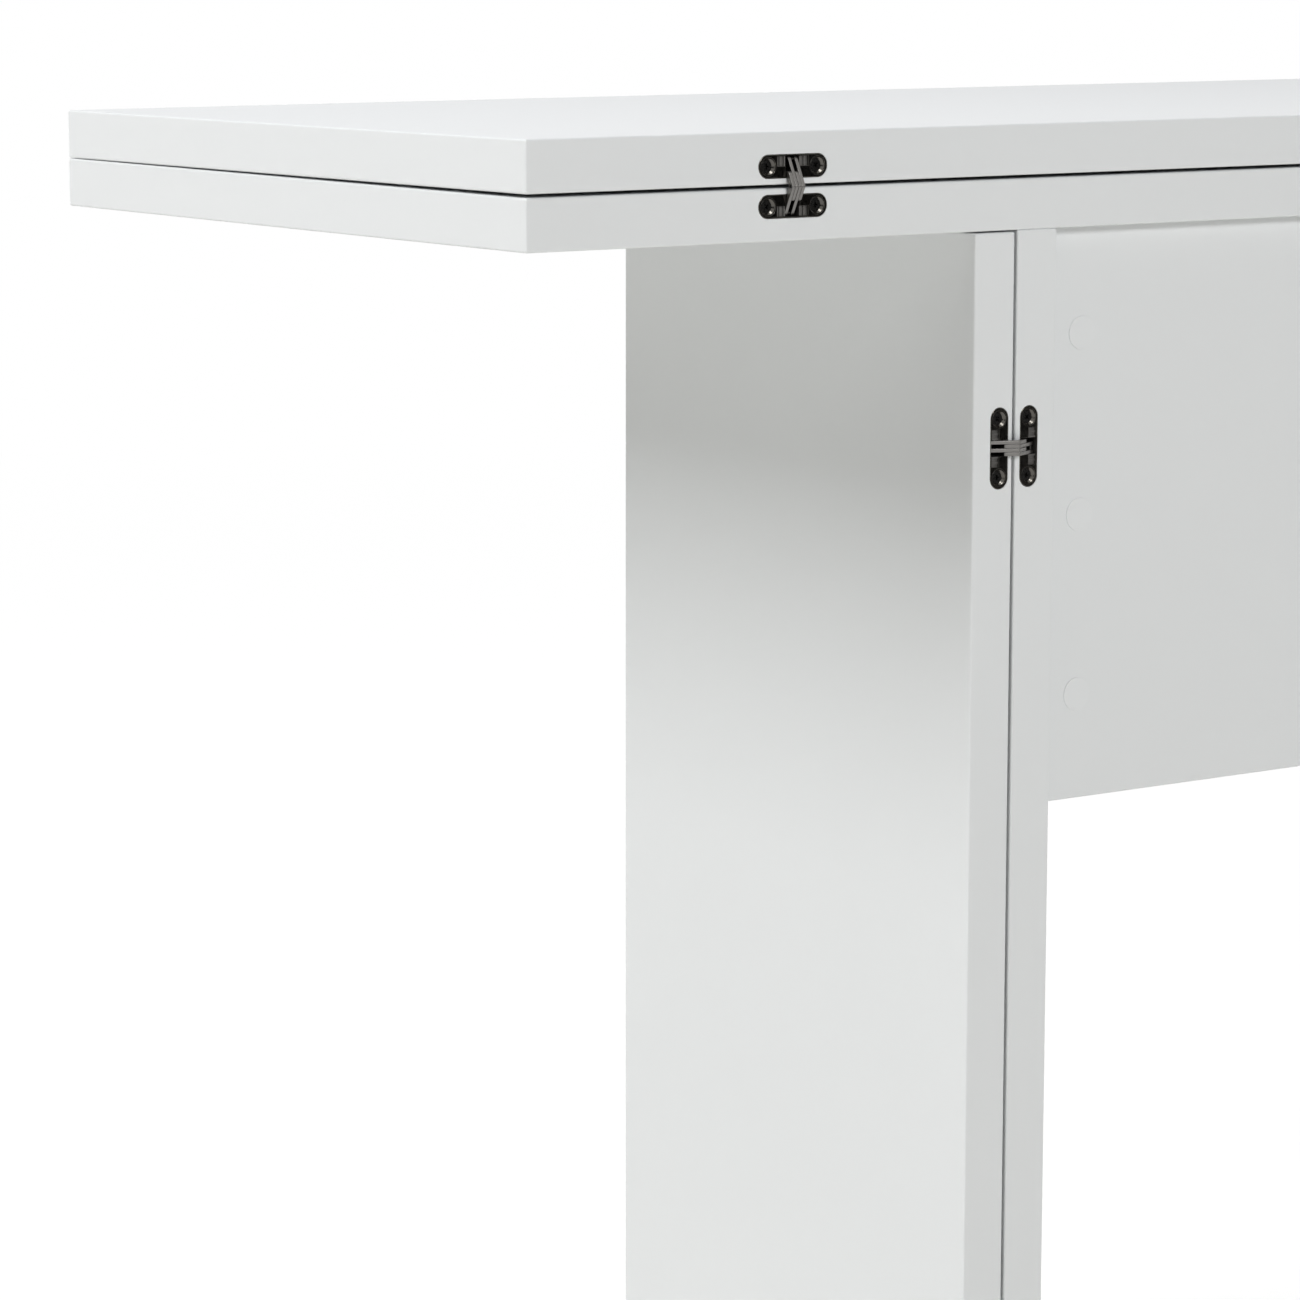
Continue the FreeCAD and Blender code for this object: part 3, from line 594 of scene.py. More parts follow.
def is_corner(edge, least=math.radians(40)):
    """True for an edge between two faces that meet at an angle."""
    return len(edge.link_faces) == 2 and edge.calc_face_angle() > least


def is_at(vert, *places):
    """True if a vertex is at one of some places."""
    return any((vert.co - place).length < SAME_PLACE for place in places)


def all_at(part, axis, level):
    """True if every vertex of an edge or face lies at one level."""
    return all(abs(vert.co[axis] - level) < SAME_PLACE for vert in part.verts)


def move_vertex(piece, old, new):
    """In edit mode, take the vertex at one place to another."""
    pick(piece, "VERT", lambda vert: is_at(vert, old))
    bpy.ops.transform.translate(value=new - old)


def apply_modifier(piece, modifier):
    """Apply a modifier to its piece."""
    bpy.context.view_layer.objects.active = piece
    bpy.ops.object.modifier_apply(modifier=modifier.name)


def carve(piece, cutter):
    """Take a cutter out of a piece, then delete the cutter."""
    carving = piece.modifiers.new("carving", "BOOLEAN")
    carving.operation = "DIFFERENCE"
    carving.solver = "MANIFOLD"
    carving.object = cutter
    apply_modifier(piece, carving)
    bpy.data.objects.remove(cutter)


def close_up(piece, smooth_angle=35.0):
    """Merge doubles, turn the faces outwards and smooth the round ones."""
    with editing(piece):
        pick_all()
        bpy.ops.mesh.remove_doubles(threshold=SAME_PLACE)
        bpy.ops.mesh.normals_make_consistent(inside=False)
    bpy.ops.object.shade_smooth_by_angle(angle=math.radians(smooth_angle))


def dress(piece, smooth_angle=35.0):
    """Close a piece up, and let its large faces set the normals so that they stay flat."""
    close_up(piece, smooth_angle)
    weighing = piece.modifiers.new("flat_faces", "WEIGHTED_NORMAL")
    weighing.mode = "FACE_AREA"
    weighing.keep_sharp = True
    apply_modifier(piece, weighing)
    return piece


def turned(name, profile, sides):
    """A round solid about Z: a filled circle extruded and resized through (height, radius) steps."""
    height, radius = profile[0]
    piece = start(bpy.ops.mesh.primitive_circle_add, name, vertices=sides, radius=radius,
                  fill_type="NGON", location=(0.0, 0.0, height))
    with editing(piece):
        pick_all()
        for next_height, next_radius in profile[1:]:
            extrude((0.0, 0.0, next_height - height))
            ratio = next_radius / radius
            taper((ratio, ratio, 1.0), (0.0, 0.0, next_height))
            height, radius = next_height, next_radius
    close_up(piece)
    return piece


def round_edges(piece, wanted, radius, segments):
    """Round the wanted edges of a piece."""
    with editing(piece):
        pick(piece, "EDGE", wanted)
        bpy.ops.mesh.bevel(offset=radius, segments=segments, affect="EDGES", profile=0.5)


def laid(piece, axis):
    """Turn a round solid from Z onto another axis, in its mesh."""
    piece.data.transform({"x": rotation(90.0, "Y"), "y": rotation(-90.0, "X")}[axis])
    return piece


def moved(piece, place):
    """Move a master piece or cutter in its mesh."""
    piece.data.transform(at(place))
    return piece


def drill(piece, radius, reach, place):
    """Drill a hole along the fold axis, as far to both sides of a place."""
    cutter = turned("drill", [(-reach, radius), (reach, radius)], SMALL_SIDES)
    carve(piece, moved(laid(cutter, "x"), place))


def copies(master, name, places):
    """Copies of a master in millimetres at every place, each with its own mesh, joined into one piece."""
    bpy.ops.object.select_all(action="DESELECT")
    made = []
    for place in places:
        copy = master.copy()
        copy.data = master.data.copy()
        copy.data.transform(place @ Matrix.Scale(MM, 4))
        bpy.context.scene.collection.objects.link(copy)
        copy.select_set(True)
        made.append(copy)
    piece = made[0]
    bpy.context.view_layer.objects.active = piece
    if len(made) > 1:
        bpy.ops.object.join()
    piece.name = name
    piece.data.name = name
    return piece


def finished(piece, node, body, material):
    """Give a piece its finish and its body, and hide the CAD node that it stands for."""
    piece.data.materials.clear()
    piece.data.materials.append(material)
    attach(piece, body)
    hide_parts(node)


def paint(node, material):
    """Give a CAD node that stays its finish."""
    piece = frame["nodes"][node]
    if not piece.material_slots:
        piece.data.materials.append(material)
    for holder in piece.material_slots:
        holder.material = material


def discard(master):
    """Delete a master piece once its copies are made."""
    bpy.data.objects.remove(master)


def hinge_place(line, hinge):
    """Place of a hinge: X along its fold axis, Y into the board, Z towards the moving board."""
    low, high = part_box(f"{line}_hinge_{hinge}_{HINGE_LINES[line].still}_housing")
    joint = JOINTS[HINGE_LINES[line].joint]
    on_axis = Vector(joint["pos_m"])
    along = Vector(joint["axis"])
    origin = on_axis + along * ((low + high) / 2 - on_axis).dot(along)
    return at(origin) @ rotation(HINGE_LINES[line].turn, "Y")


def fixed_halves(line):
    """Places of the fixed half of every hinge on a line."""
    return [hinge_place(line, hinge) for hinge in HINGE_LINES[line].hinges]


def moving_halves(line):
    """Places of the moving half of every hinge on a line, tilted with a leaf that rests tilted."""
    joint = JOINTS[HINGE_LINES[line].joint]
    fold = at(joint["pos_m"])
    tilt = fold @ rotation(180.0 - joint["range_deg"][1], Vector(joint["axis"])) @ fold.inverted()
    return [tilt @ place @ rotation(180.0, "Y") for place in fixed_halves(line)]


def both_halves(name):
    """Name, body and places of the fixed halves and of the moving halves on a line of hinges."""
    line = HINGE_LINES[name]
    return (line.still, "base", fixed_halves(name)), (line.swung, line.body, moving_halves(name))


def every_fixed_half():
    """Places of the fixed halves of all hinges."""
    return [place for line in HINGE_LINES for place in fixed_halves(line)]


def offset(places, *steps):
    """Every place with each of several steps in millimetres inside it."""
    return [place @ at(Vector(step) * MM) for place in places for step in steps]


def oblong(name, span, width, place):
    """A filled round-ended outline facing -Y: a circle with its halves pulled apart."""
    half_step = math.pi / SIDES
    piece = start(bpy.ops.mesh.primitive_circle_add, name, vertices=SIDES,
                  radius=width / 2 / math.cos(half_step), fill_type="NGON", location=place,
                  rotation=(math.radians(90), half_step, 0.0))
    with editing(piece):
        for side in (-1, 1):
            pick(piece, "VERT", lambda vert: vert.co.x * side > SAME_PLACE)
            bpy.ops.transform.translate(value=(side * (span - width) / 2, 0.0, 0.0))
    return piece


def housing_body(hinge):
    """Round-ended flange of a housing, with the deeper block behind it and a rounded rim."""
    half = hinge.block_length / 2
    back = hinge.face + hinge.flange_depth
    piece = oblong("housing", hinge.length, hinge.width, (0.0, hinge.face, -hinge.middle))
    with editing(piece):
        pick_all()
        extrude((0.0, hinge.flange_depth, 0.0))
        for side in (-half, half):
            pick_all()
            bpy.ops.mesh.bisect(plane_co=(side, 0.0, 0.0), plane_no=(1.0, 0.0, 0.0), threshold=SAME_PLACE)
        pick(piece, "FACE", lambda part: all_at(part, 1, back) and abs(part.calc_center_median().x) < half)
        extrude((0.0, hinge.depth - hinge.flange_depth, 0.0))
    round_edges(piece, lambda edge: is_corner(edge) and all_at(edge, 1, hinge.face),
                radius=hinge.rim_radius, segments=4)
    close_up(piece)
    return piece


def carve_pocket(piece, hinge, depth, ends, sides):
    """Take a square pocket out of a housing's face, between two ends along the fold and two sides."""
    low = (min(ends), hinge.face - OVERSHOOT, min(sides))
    high = (max(ends), hinge.face + depth, max(sides))
    carve(piece, block("pocket", low, high))


def seat_cutter(hinge):
    """Cutter of a screw seat: bowl, head cone and shank hole, opening towards -Y."""
    mouth = hinge.seat_diameter / 2
    floor = hinge.head_diameter / 2 + 2 * hinge.screw_clearance
    shank = hinge.shank_diameter / 2 + hinge.screw_clearance
    head_end = hinge.seat_depth + hinge.head_sink + hinge.head_height
    flare, steps, straight = 0.4, 5, 0.2
    profile = [(-OVERSHOOT, mouth + flare)]
    # A bowl: its wall leans in more and more towards the floor
    for step in range(steps + 1):
        down = step / steps
        inwards = straight * down + (1 - straight) * down * down
        profile.append((hinge.seat_depth * down, mouth - (mouth - floor) * inwards))
    profile += [(head_end, shank), (hinge.flange_depth + OVERSHOOT, shank)]
    return laid(turned("screw_seat", profile, SIDES), "y")


def model_housing(hinge):
    """Cast housing: flange and block with a pocket for the links, ribs, screw seats and a pivot bore."""
    piece = housing_body(hinge)
    slot = hinge.slot_length / 2
    wall = -hinge.near - hinge.slot_near_wall
    ribs = (hinge.rib_pocket_rim - hinge.far, -hinge.middle)
    carve_pocket(piece, hinge, hinge.slot_depth, (-slot, slot), (hinge.slot_far_wall - hinge.far, wall))
    notch = (wall - OVERSHOOT, OVERSHOOT - hinge.near)
    carve_pocket(piece, hinge, hinge.notch_depth, (-slot, slot), notch)
    for side in (-1, 1):
        carve_pocket(piece, hinge, hinge.rib_sink, (side * slot, side * hinge.ribs_end), ribs)
        for number in range(RIB_POCKETS):
            near_end = slot + hinge.rib_thickness + number * hinge.rib_pitch
            ends = (side * near_end, side * (near_end + hinge.rib_pocket_width))
            carve_pocket(piece, hinge, hinge.rib_pocket_depth, ends, ribs)
        carve(piece, moved(seat_cutter(hinge), (side * hinge.screw_span / 2, hinge.face, -hinge.middle)))
    drill(piece, hinge.pivot_radius + hinge.pin_clearance, hinge.pivot_length / 2 + hinge.pin_clearance,
          (0.0, hinge.pivot_depth, -hinge.near - hinge.pivot_inset))
    levels = (hinge.face, hinge.face + hinge.rib_sink)
    round_edges(piece, lambda edge: is_corner(edge) and any(all_at(edge, 1, level) for level in levels),
                radius=hinge.edge_bevel, segments=2)
    return dress(piece, smooth_angle=30.0)


def link_path(hinge):
    """Corners of a link's middle line, as (depth, across the gap): pivot to sliding end."""
    return [
        Vector((hinge.pivot_depth, -hinge.near - hinge.pivot_inset)),
        Vector((-hinge.elbow_height, -hinge.near - hinge.elbow_inset)),
        Vector((-hinge.knuckle_height, 0.0)),
        Vector((hinge.slide_depth, hinge.far - hinge.slide_inset)),
    ]


def mitres(path, half_width, level):
    """Corners left and right of every point of a path, with its turn there and if it ends there."""
    steps = [(after - before).normalized() for before, after in zip(path, path[1:])]
    overhang = {0: -steps[0] * half_width, len(steps): steps[-1] * half_width}
    rows = []
    for number, point in enumerate(path):
        before = steps[max(number - 1, 0)]
        after = steps[min(number, len(steps) - 1)]
        turn = before.angle_signed(after)
        along = before + after
        across = Vector((-along.y, along.x)).normalized() * (half_width / math.cos(turn / 2))
        middle = point + overhang.get(number, Vector((0.0, 0.0)))
        rows.append(SimpleNamespace(left=Vector((level, *(middle + across))), turn=turn,
                                    right=Vector((level, *(middle - across))), end=number in overhang))
    return rows


def link_strip(hinge, level):
    """Flat outline of a link plate: a strip drawn along its path, with rounded corners."""
    rows = mitres(link_path(hinge), hinge.plate_half_width, level)
    piece = start(bpy.ops.mesh.primitive_plane_add, "link", size=2.0, location=(level, 0.0, 0.0),
                  rotation=(0.0, math.radians(90), 0.0))
    with editing(piece):
        corners = sorted((vert.co.copy() for vert in bmesh.from_edit_mesh(piece.data).verts),
                         key=lambda place: math.atan2(place.z, place.y))
        for old, new in zip(corners, (rows[0].left, rows[0].right, rows[1].right, rows[1].left)):
            move_vertex(piece, old, new)
        for row, after in zip(rows[1:], rows[2:]):
            pick(piece, "EDGE", lambda edge: all(is_at(vert, row.left, row.right) for vert in edge.verts))
            step = after.left - row.left
            bpy.ops.mesh.extrude_edges_move(TRANSFORM_OT_translate={"value": step})
            move_vertex(piece, row.right + step, after.right)
        pick(piece, "EDGE", lambda edge: len(edge.link_faces) == 2)
        bpy.ops.mesh.dissolve_edges(use_verts=False)
        for row in rows:
            for place, outer in ((row.left, row.turn > 0), (row.right, row.turn < 0)):
                pick(piece, "VERT", lambda vert: is_at(vert, place))
                round_corner(hinge, row, outer)
    return piece


def round_corner(hinge, row, outer):
    """Round the selected corner of a link: fully at an end, less on the inside of a bend."""
    if row.end:
        full_share, segments = 0.98, 10
        reach = hinge.plate_half_width * full_share
    else:
        inside_share, segments = 0.4, 6
        bend = math.tan(abs(row.turn) / 2) * (1.0 if outer else inside_share)
        reach = hinge.plate_half_width * bend
    bpy.ops.mesh.bevel(offset=reach, segments=segments, affect="VERTICES")


def model_link(hinge):
    """Stamped link plate: its outline thickened, with broken edges and drilled holes."""
    half = hinge.plate_thickness / 2
    piece = link_strip(hinge, -half)
    with editing(piece):
        pick_all()
        extrude((hinge.plate_thickness, 0.0, 0.0))
    close_up(piece)
    round_edges(piece, lambda edge: all_at(edge, 0, -half) or all_at(edge, 0, half),
                radius=hinge.plate_bevel, segments=2)
    pivot, _, knuckle, slide = link_path(hinge)
    holes = ((pivot, hinge.pivot_radius), (knuckle, hinge.rivet_radius), (slide, hinge.slide_radius))
    for place, radius in holes:
        drill(piece, radius + hinge.pin_clearance, hinge.plate_thickness, (0.0, *place))
    return dress(piece)


def model_pin(name, radius, reach, bevel, depth, across):
    """A turned pin along the fold axis with broken edges, at its place in the hinge."""
    profile = [(-reach, radius - bevel), (-reach + bevel, radius),
               (reach - bevel, radius), (reach, radius - bevel)]
    return moved(laid(turned(name, profile, SMALL_SIDES), "x"), (0.0, depth, across))


def screw_profile(hinge):
    """Heights and radii of a countersunk screw: head, core, thread ridges and point."""
    top, tip = -hinge.head_sink, -hinge.screw_length
    head, crest = hinge.head_diameter / 2, hinge.shank_diameter / 2
    core_share, edge_width, edge_height, point = 0.72, 0.15, 0.12, 0.3
    foot, ridge = 0.45, 0.08
    core = crest * core_share
    neck = top - hinge.head_height
    profile = [(top, head - edge_width), (top - edge_height, head), (neck, core)]
    level = neck - hinge.thread_pitch
    while level > tip + hinge.shank_diameter:
        profile += [(level + foot, core), (level + ridge, crest)]
        profile += [(level - ridge, crest), (level - foot, core)]
        level -= hinge.thread_pitch
    return profile + [(tip + hinge.shank_diameter, core), (tip, point)]


def model_screw(hinge):
    """Countersunk screw with a cross recess that tapers towards its floor."""
    piece = turned("screw", screw_profile(hinge), SMALL_SIDES)
    top = -hinge.head_sink
    floor = top - hinge.recess_depth
    arm = Vector((hinge.recess_length / 2, hinge.recess_width / 2))
    floor_shares = Vector((0.42, 0.9))
    for wide, shares in ((arm, floor_shares), (arm.yx, floor_shares.yx)):
        cutter = block("cross", (-wide.x, -wide.y, floor), (wide.x, wide.y, top + OVERSHOOT))
        with editing(cutter):
            pick(cutter, "FACE", lambda part: all_at(part, 2, floor))
            taper((*shares, 1.0), (0.0, 0.0, top))
        carve(piece, cutter)
    return dress(piece, smooth_angle=30.0)


def model_cap(sizes):
    """Cover cap: a thin disc with a rounded edge and a shallow dish."""
    radius = sizes.cap_diameter / 2
    top = sizes.cap_thickness
    piece = turned("cap", [(0.0, radius), (top, radius)], CAP_SIDES)
    round_edges(piece, lambda edge: all_at(edge, 2, top), radius=sizes.cap_edge, segments=4)
    with editing(piece):
        pick(piece, "FACE", lambda part: all_at(part, 2, top))
        bpy.ops.mesh.inset(thickness=sizes.cap_rim)
        bpy.ops.transform.translate(value=(0.0, 0.0, -sizes.cap_dish))
    return dress(piece)


def model_glide(sizes):
    """Glide: stem with a pointed end, and a foot with a rounded edge and a hollow."""
    stem, stem_end = sizes.glide_stem_diameter / 2, -sizes.glide_stem_length
    foot, top = sizes.glide_diameter / 2, sizes.glide_height
    point_width, point_height, foot_break, hollow_taper = 1.2, 1.5, 0.4, 0.8
    profile = [(stem_end, stem - point_width), (stem_end + point_height, stem), (0.0, stem),
               (0.0, foot - foot_break), (foot_break, foot), (top, foot)]
    piece = turned("glide", profile, SIDES)
    round_edges(piece, lambda edge: is_corner(edge) and all_at(edge, 2, top),
                radius=sizes.glide_edge, segments=5)
    with editing(piece):
        pick(piece, "FACE", lambda part: all_at(part, 2, top))
        bpy.ops.mesh.inset(thickness=sizes.glide_rim)
        extrude((0.0, 0.0, -sizes.glide_hollow))
        taper((hollow_taper, hollow_taper, 1.0), (0.0, 0.0, top))
    return dress(piece)


def model_pad(sizes):
    """Soft pad: a small dome on a thin skirt."""
    radius = sizes.pad_diameter / 2
    top = sizes.pad_thickness
    skirt, crown, rings = 0.3, 0.05, 6
    profile = [(0.0, radius)]
    for ring in range(rings):
        lean = ring / rings * math.pi / 2
        profile.append((top * (skirt + (1 - skirt) * math.sin(lean)), radius * math.cos(lean)))
    return turned("pad", profile + [(top, crown * radius)], SIDES)


class FOLDTABLE_OT_boards(bpy.types.Operator):
    """Lacquer the leaves, the apron and the leg panels"""

    bl_idname = "foldtable.boards"
    bl_label = "Boards"

    def execute(self, context):
        lacquer = lacquer_finish(context.scene.foldtable_finishes)
        for board in BOARDS:
            paint(board, lacquer)
        return {"FINISHED"}


class FOLDTABLE_OT_joinery(bpy.types.Operator):
    """Finish the cams, bolts and dowels inside the boards"""

    bl_idname = "foldtable.joinery"
    bl_label = "Joinery"

    def execute(self, context):
        colours = context.scene.foldtable_finishes
        zinc = zinc_finish(colours)
        paint("cam_fittings", zinc)
        paint("cam_bolts", zinc)
        paint("dowels", beech_finish(colours))
        return {"FINISHED"}


class FOLDTABLE_OT_housings(bpy.types.Operator):
    """Cast the hinge housings and set them in the board edges"""

    bl_idname = "foldtable.housings"
    bl_label = "Hinge housings"

    def execute(self, context):
        sizes = hinge_sizes(context)
        colours = context.scene.foldtable_finishes
        raw_reach = (sizes.ribs_end + sizes.rib_thickness) * MM
        # The hinges of both legs are at the same heights, so one plating serves them
        plating = {axis: cast_finish(colours, axis, fixed_halves(name), raw_reach)
                   for axis, name in (("x", "top"), ("z", "left_leg"))}
        master = model_housing(sizes)
        for name, line in HINGE_LINES.items():
            for half, body, places in both_halves(name):
                for hinge, place in zip(line.hinges, places):
                    piece = copies(master, f"{name}_{hinge}_{half}_casting", [place])
                    finished(piece, f"{name}_hinge_{hinge}_{half}_housing", body,
                             plating[line.axis])
        discard(master)
        return {"FINISHED"}


class FOLDTABLE_OT_links(bpy.types.Operator):
    """Stamp the link plates and hang each set on its own body"""

    bl_idname = "foldtable.links"
    bl_label = "Hinge links"

    def execute(self, context):
        sizes = hinge_sizes(context)
        steel = {axis: link_finish(context.scene.foldtable_finishes, axis) for axis in "xz"}
        master = model_link(sizes)
        for name, line in HINGE_LINES.items():
            for half, _, places in both_halves(name):
                piece = copies(master, f"{name}_{half}_plates", offset(places, *sizes.plate_steps))
                finished(piece, f"{name}_{half}_links", f"{name}_{half}_link_set",
                         steel[line.axis])
        discard(master)
        return {"FINISHED"}


class FOLDTABLE_OT_pins(bpy.types.Operator):
    """Turn the pivot pins, slide pins and knuckle rivets of the hinges"""

    bl_idname = "foldtable.pins"
    bl_label = "Hinge pins"

    def execute(self, context):
        sizes = hinge_sizes(context)
        steel = pin_finish(context.scene.foldtable_finishes)
        pivot = model_pin("pivot", sizes.pivot_radius, sizes.pivot_length / 2, sizes.pin_bevel,
                          sizes.pivot_depth, -sizes.near - sizes.pivot_inset)
        slide = model_pin("slide", sizes.slide_radius, (sizes.group_pitch + sizes.plate_thickness) / 2,
                          sizes.pin_bevel, sizes.slide_depth, sizes.far - sizes.slide_inset)
        rivet = model_pin("rivet", sizes.rivet_radius, sizes.plate_thickness / 2 + sizes.rivet_proud,
                          sizes.rivet_proud * 2, -sizes.knuckle_height, 0.0)
        between_plates = (sizes.pair_pitch / 2, 0.0, 0.0)
        groups = [(pivot, "base_pivots", every_fixed_half(), "base_pivot_pins", "base")]
        for name, line in HINGE_LINES.items():
            groups.append((pivot, f"{line.board}_pivots", moving_halves(name), f"{line.board}_pivot_pins",
                           line.body))
            for half, _, places in both_halves(name):
                part = f"{name}_{half}"
                groups.append((slide, f"{part}_sliders", offset(places, between_plates),
                               f"{part}_slide_pins", f"{part}_link_set"))
                groups.append((rivet, f"{part}_rivets", offset(places, *sizes.plate_steps),
                               f"{part}_centre_rivets", f"{part}_link_set"))
        for master, name, places, node, body in groups:
            finished(copies(master, name, places), node, body, steel)
        for master in (pivot, slide, rivet):
            discard(master)
        return {"FINISHED"}


class FOLDTABLE_OT_screws(bpy.types.Operator):
    """Model the hinge screws, each turned to its own angle"""

    bl_idname = "foldtable.screws"
    bl_label = "Hinge screws"

    def execute(self, context):
        sizes = hinge_sizes(context)
        plating = screw_finish(context.scene.foldtable_finishes)
        master = model_screw(sizes)
        depth = sizes.face + sizes.seat_depth
        steps = [(side * sizes.screw_span / 2, depth, -sizes.middle) for side in (1, -1)]
        next_turn = 37.0
        groups = [("base", every_fixed_half(), "base_hinge_screws")]
        for name, line in HINGE_LINES.items():
            groups.append((line.body, moving_halves(name), f"{line.board}_hinge_screws"))
        for body, halves, node in groups:
            places = [place @ rotation(90.0, "X") @ rotation(next_turn * number, "Z")
                      for number, place in enumerate(offset(halves, *steps))]
            finished(copies(master, f"{body}_screws", places), node, body, plating)
        discard(master)
        return {"FINISHED"}


class FOLDTABLE_OT_caps(bpy.types.Operator):
    """Press the cover caps over the cam fittings"""

    bl_idname = "foldtable.caps"
    bl_label = "Cover caps"

    def execute(self, context):
        fittings = context.scene.foldtable_fittings
        low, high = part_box("apron")
        leg_low, leg_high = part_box("inner_leg_right")
        margin = fittings.cam_end_margin
        heights = (high.z - margin, (low.z + high.z) / 2, low.z + margin)
        depths = (high.y + fittings.top_cam_margin, leg_high.y - fittings.top_cam_margin)
        end = high.x - fittings.cam_distance
        level = high.z - fittings.cam_distance
        places = []
        for side in (-1, 1):
            places += [at((side * end, low.y, height)) @ rotation(90.0, "X") for height in heights]
            inwards = rotation(-90.0 * side, "Y")
            places += [at((side * leg_low.x, depth, level)) @ inwards for depth in depths]
            places.append(at((side * high.x / 2, high.y, level)) @ rotation(-90.0, "X"))
        plastic = plastic_finish("cap_plastic", context.scene.foldtable_finishes.caps, roughness=0.44)
        master = model_cap(in_mm(fittings))
        finished(copies(master, "caps", places), "cover_caps", "base", plastic)
        discard(master)
        return {"FINISHED"}


class FOLDTABLE_OT_glides(bpy.types.Operator):
    """Fit the glides under the leg panels"""

    bl_idname = "foldtable.glides"
    bl_label = "Glides"

    def glide_places(self, board, margin):
        """Places of the two glides under a leg panel."""
        low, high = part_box(board)
        middle = (low.x + high.x) / 2
        depths = (low.y + margin, high.y - margin)
        return [at((middle, depth, low.z)) @ rotation(180.0, "X") for depth in depths]

    def execute(self, context):
        fittings = context.scene.foldtable_fittings
        plastic = plastic_finish("glide_plastic", context.scene.foldtable_finishes.glides, roughness=0.5)
        master = model_glide(in_mm(fittings))
        groups = (("inner_leg_glides", "base", ("inner_leg_left", "inner_leg_right")),
                  ("outer_leg_left_glides", "left_leg", ("outer_leg_left",)),
                  ("outer_leg_right_glides", "right_leg", ("outer_leg_right",)))
        for node, body, boards in groups:
            places = [place for board in boards
                      for place in self.glide_places(board, fittings.glide_margin)]
            finished(copies(master, f"{body}_feet", places), node, body, plastic)
        discard(master)
        return {"FINISHED"}


class FOLDTABLE_OT_pads(bpy.types.Operator):
    """Stick the pads between the leaves, in line with the hinges"""

    bl_idname = "foldtable.pads"
    bl_label = "Pads"

    def execute(self, context):
        fittings = context.scene.foldtable_fittings
        soft = plastic_finish("pad_film", context.scene.foldtable_finishes.pads, roughness=0.3)
        _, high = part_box("lower_leaf")
        back = high.y - fittings.pad_margin
        places = [at((hinge.translation.x, back, high.z)) for hinge in fixed_halves("top")]
        master = model_pad(in_mm(fittings))
        finished(copies(master, "pads", places), "leaf_pads", "base", soft)
        discard(master)
        return {"FINISHED"}


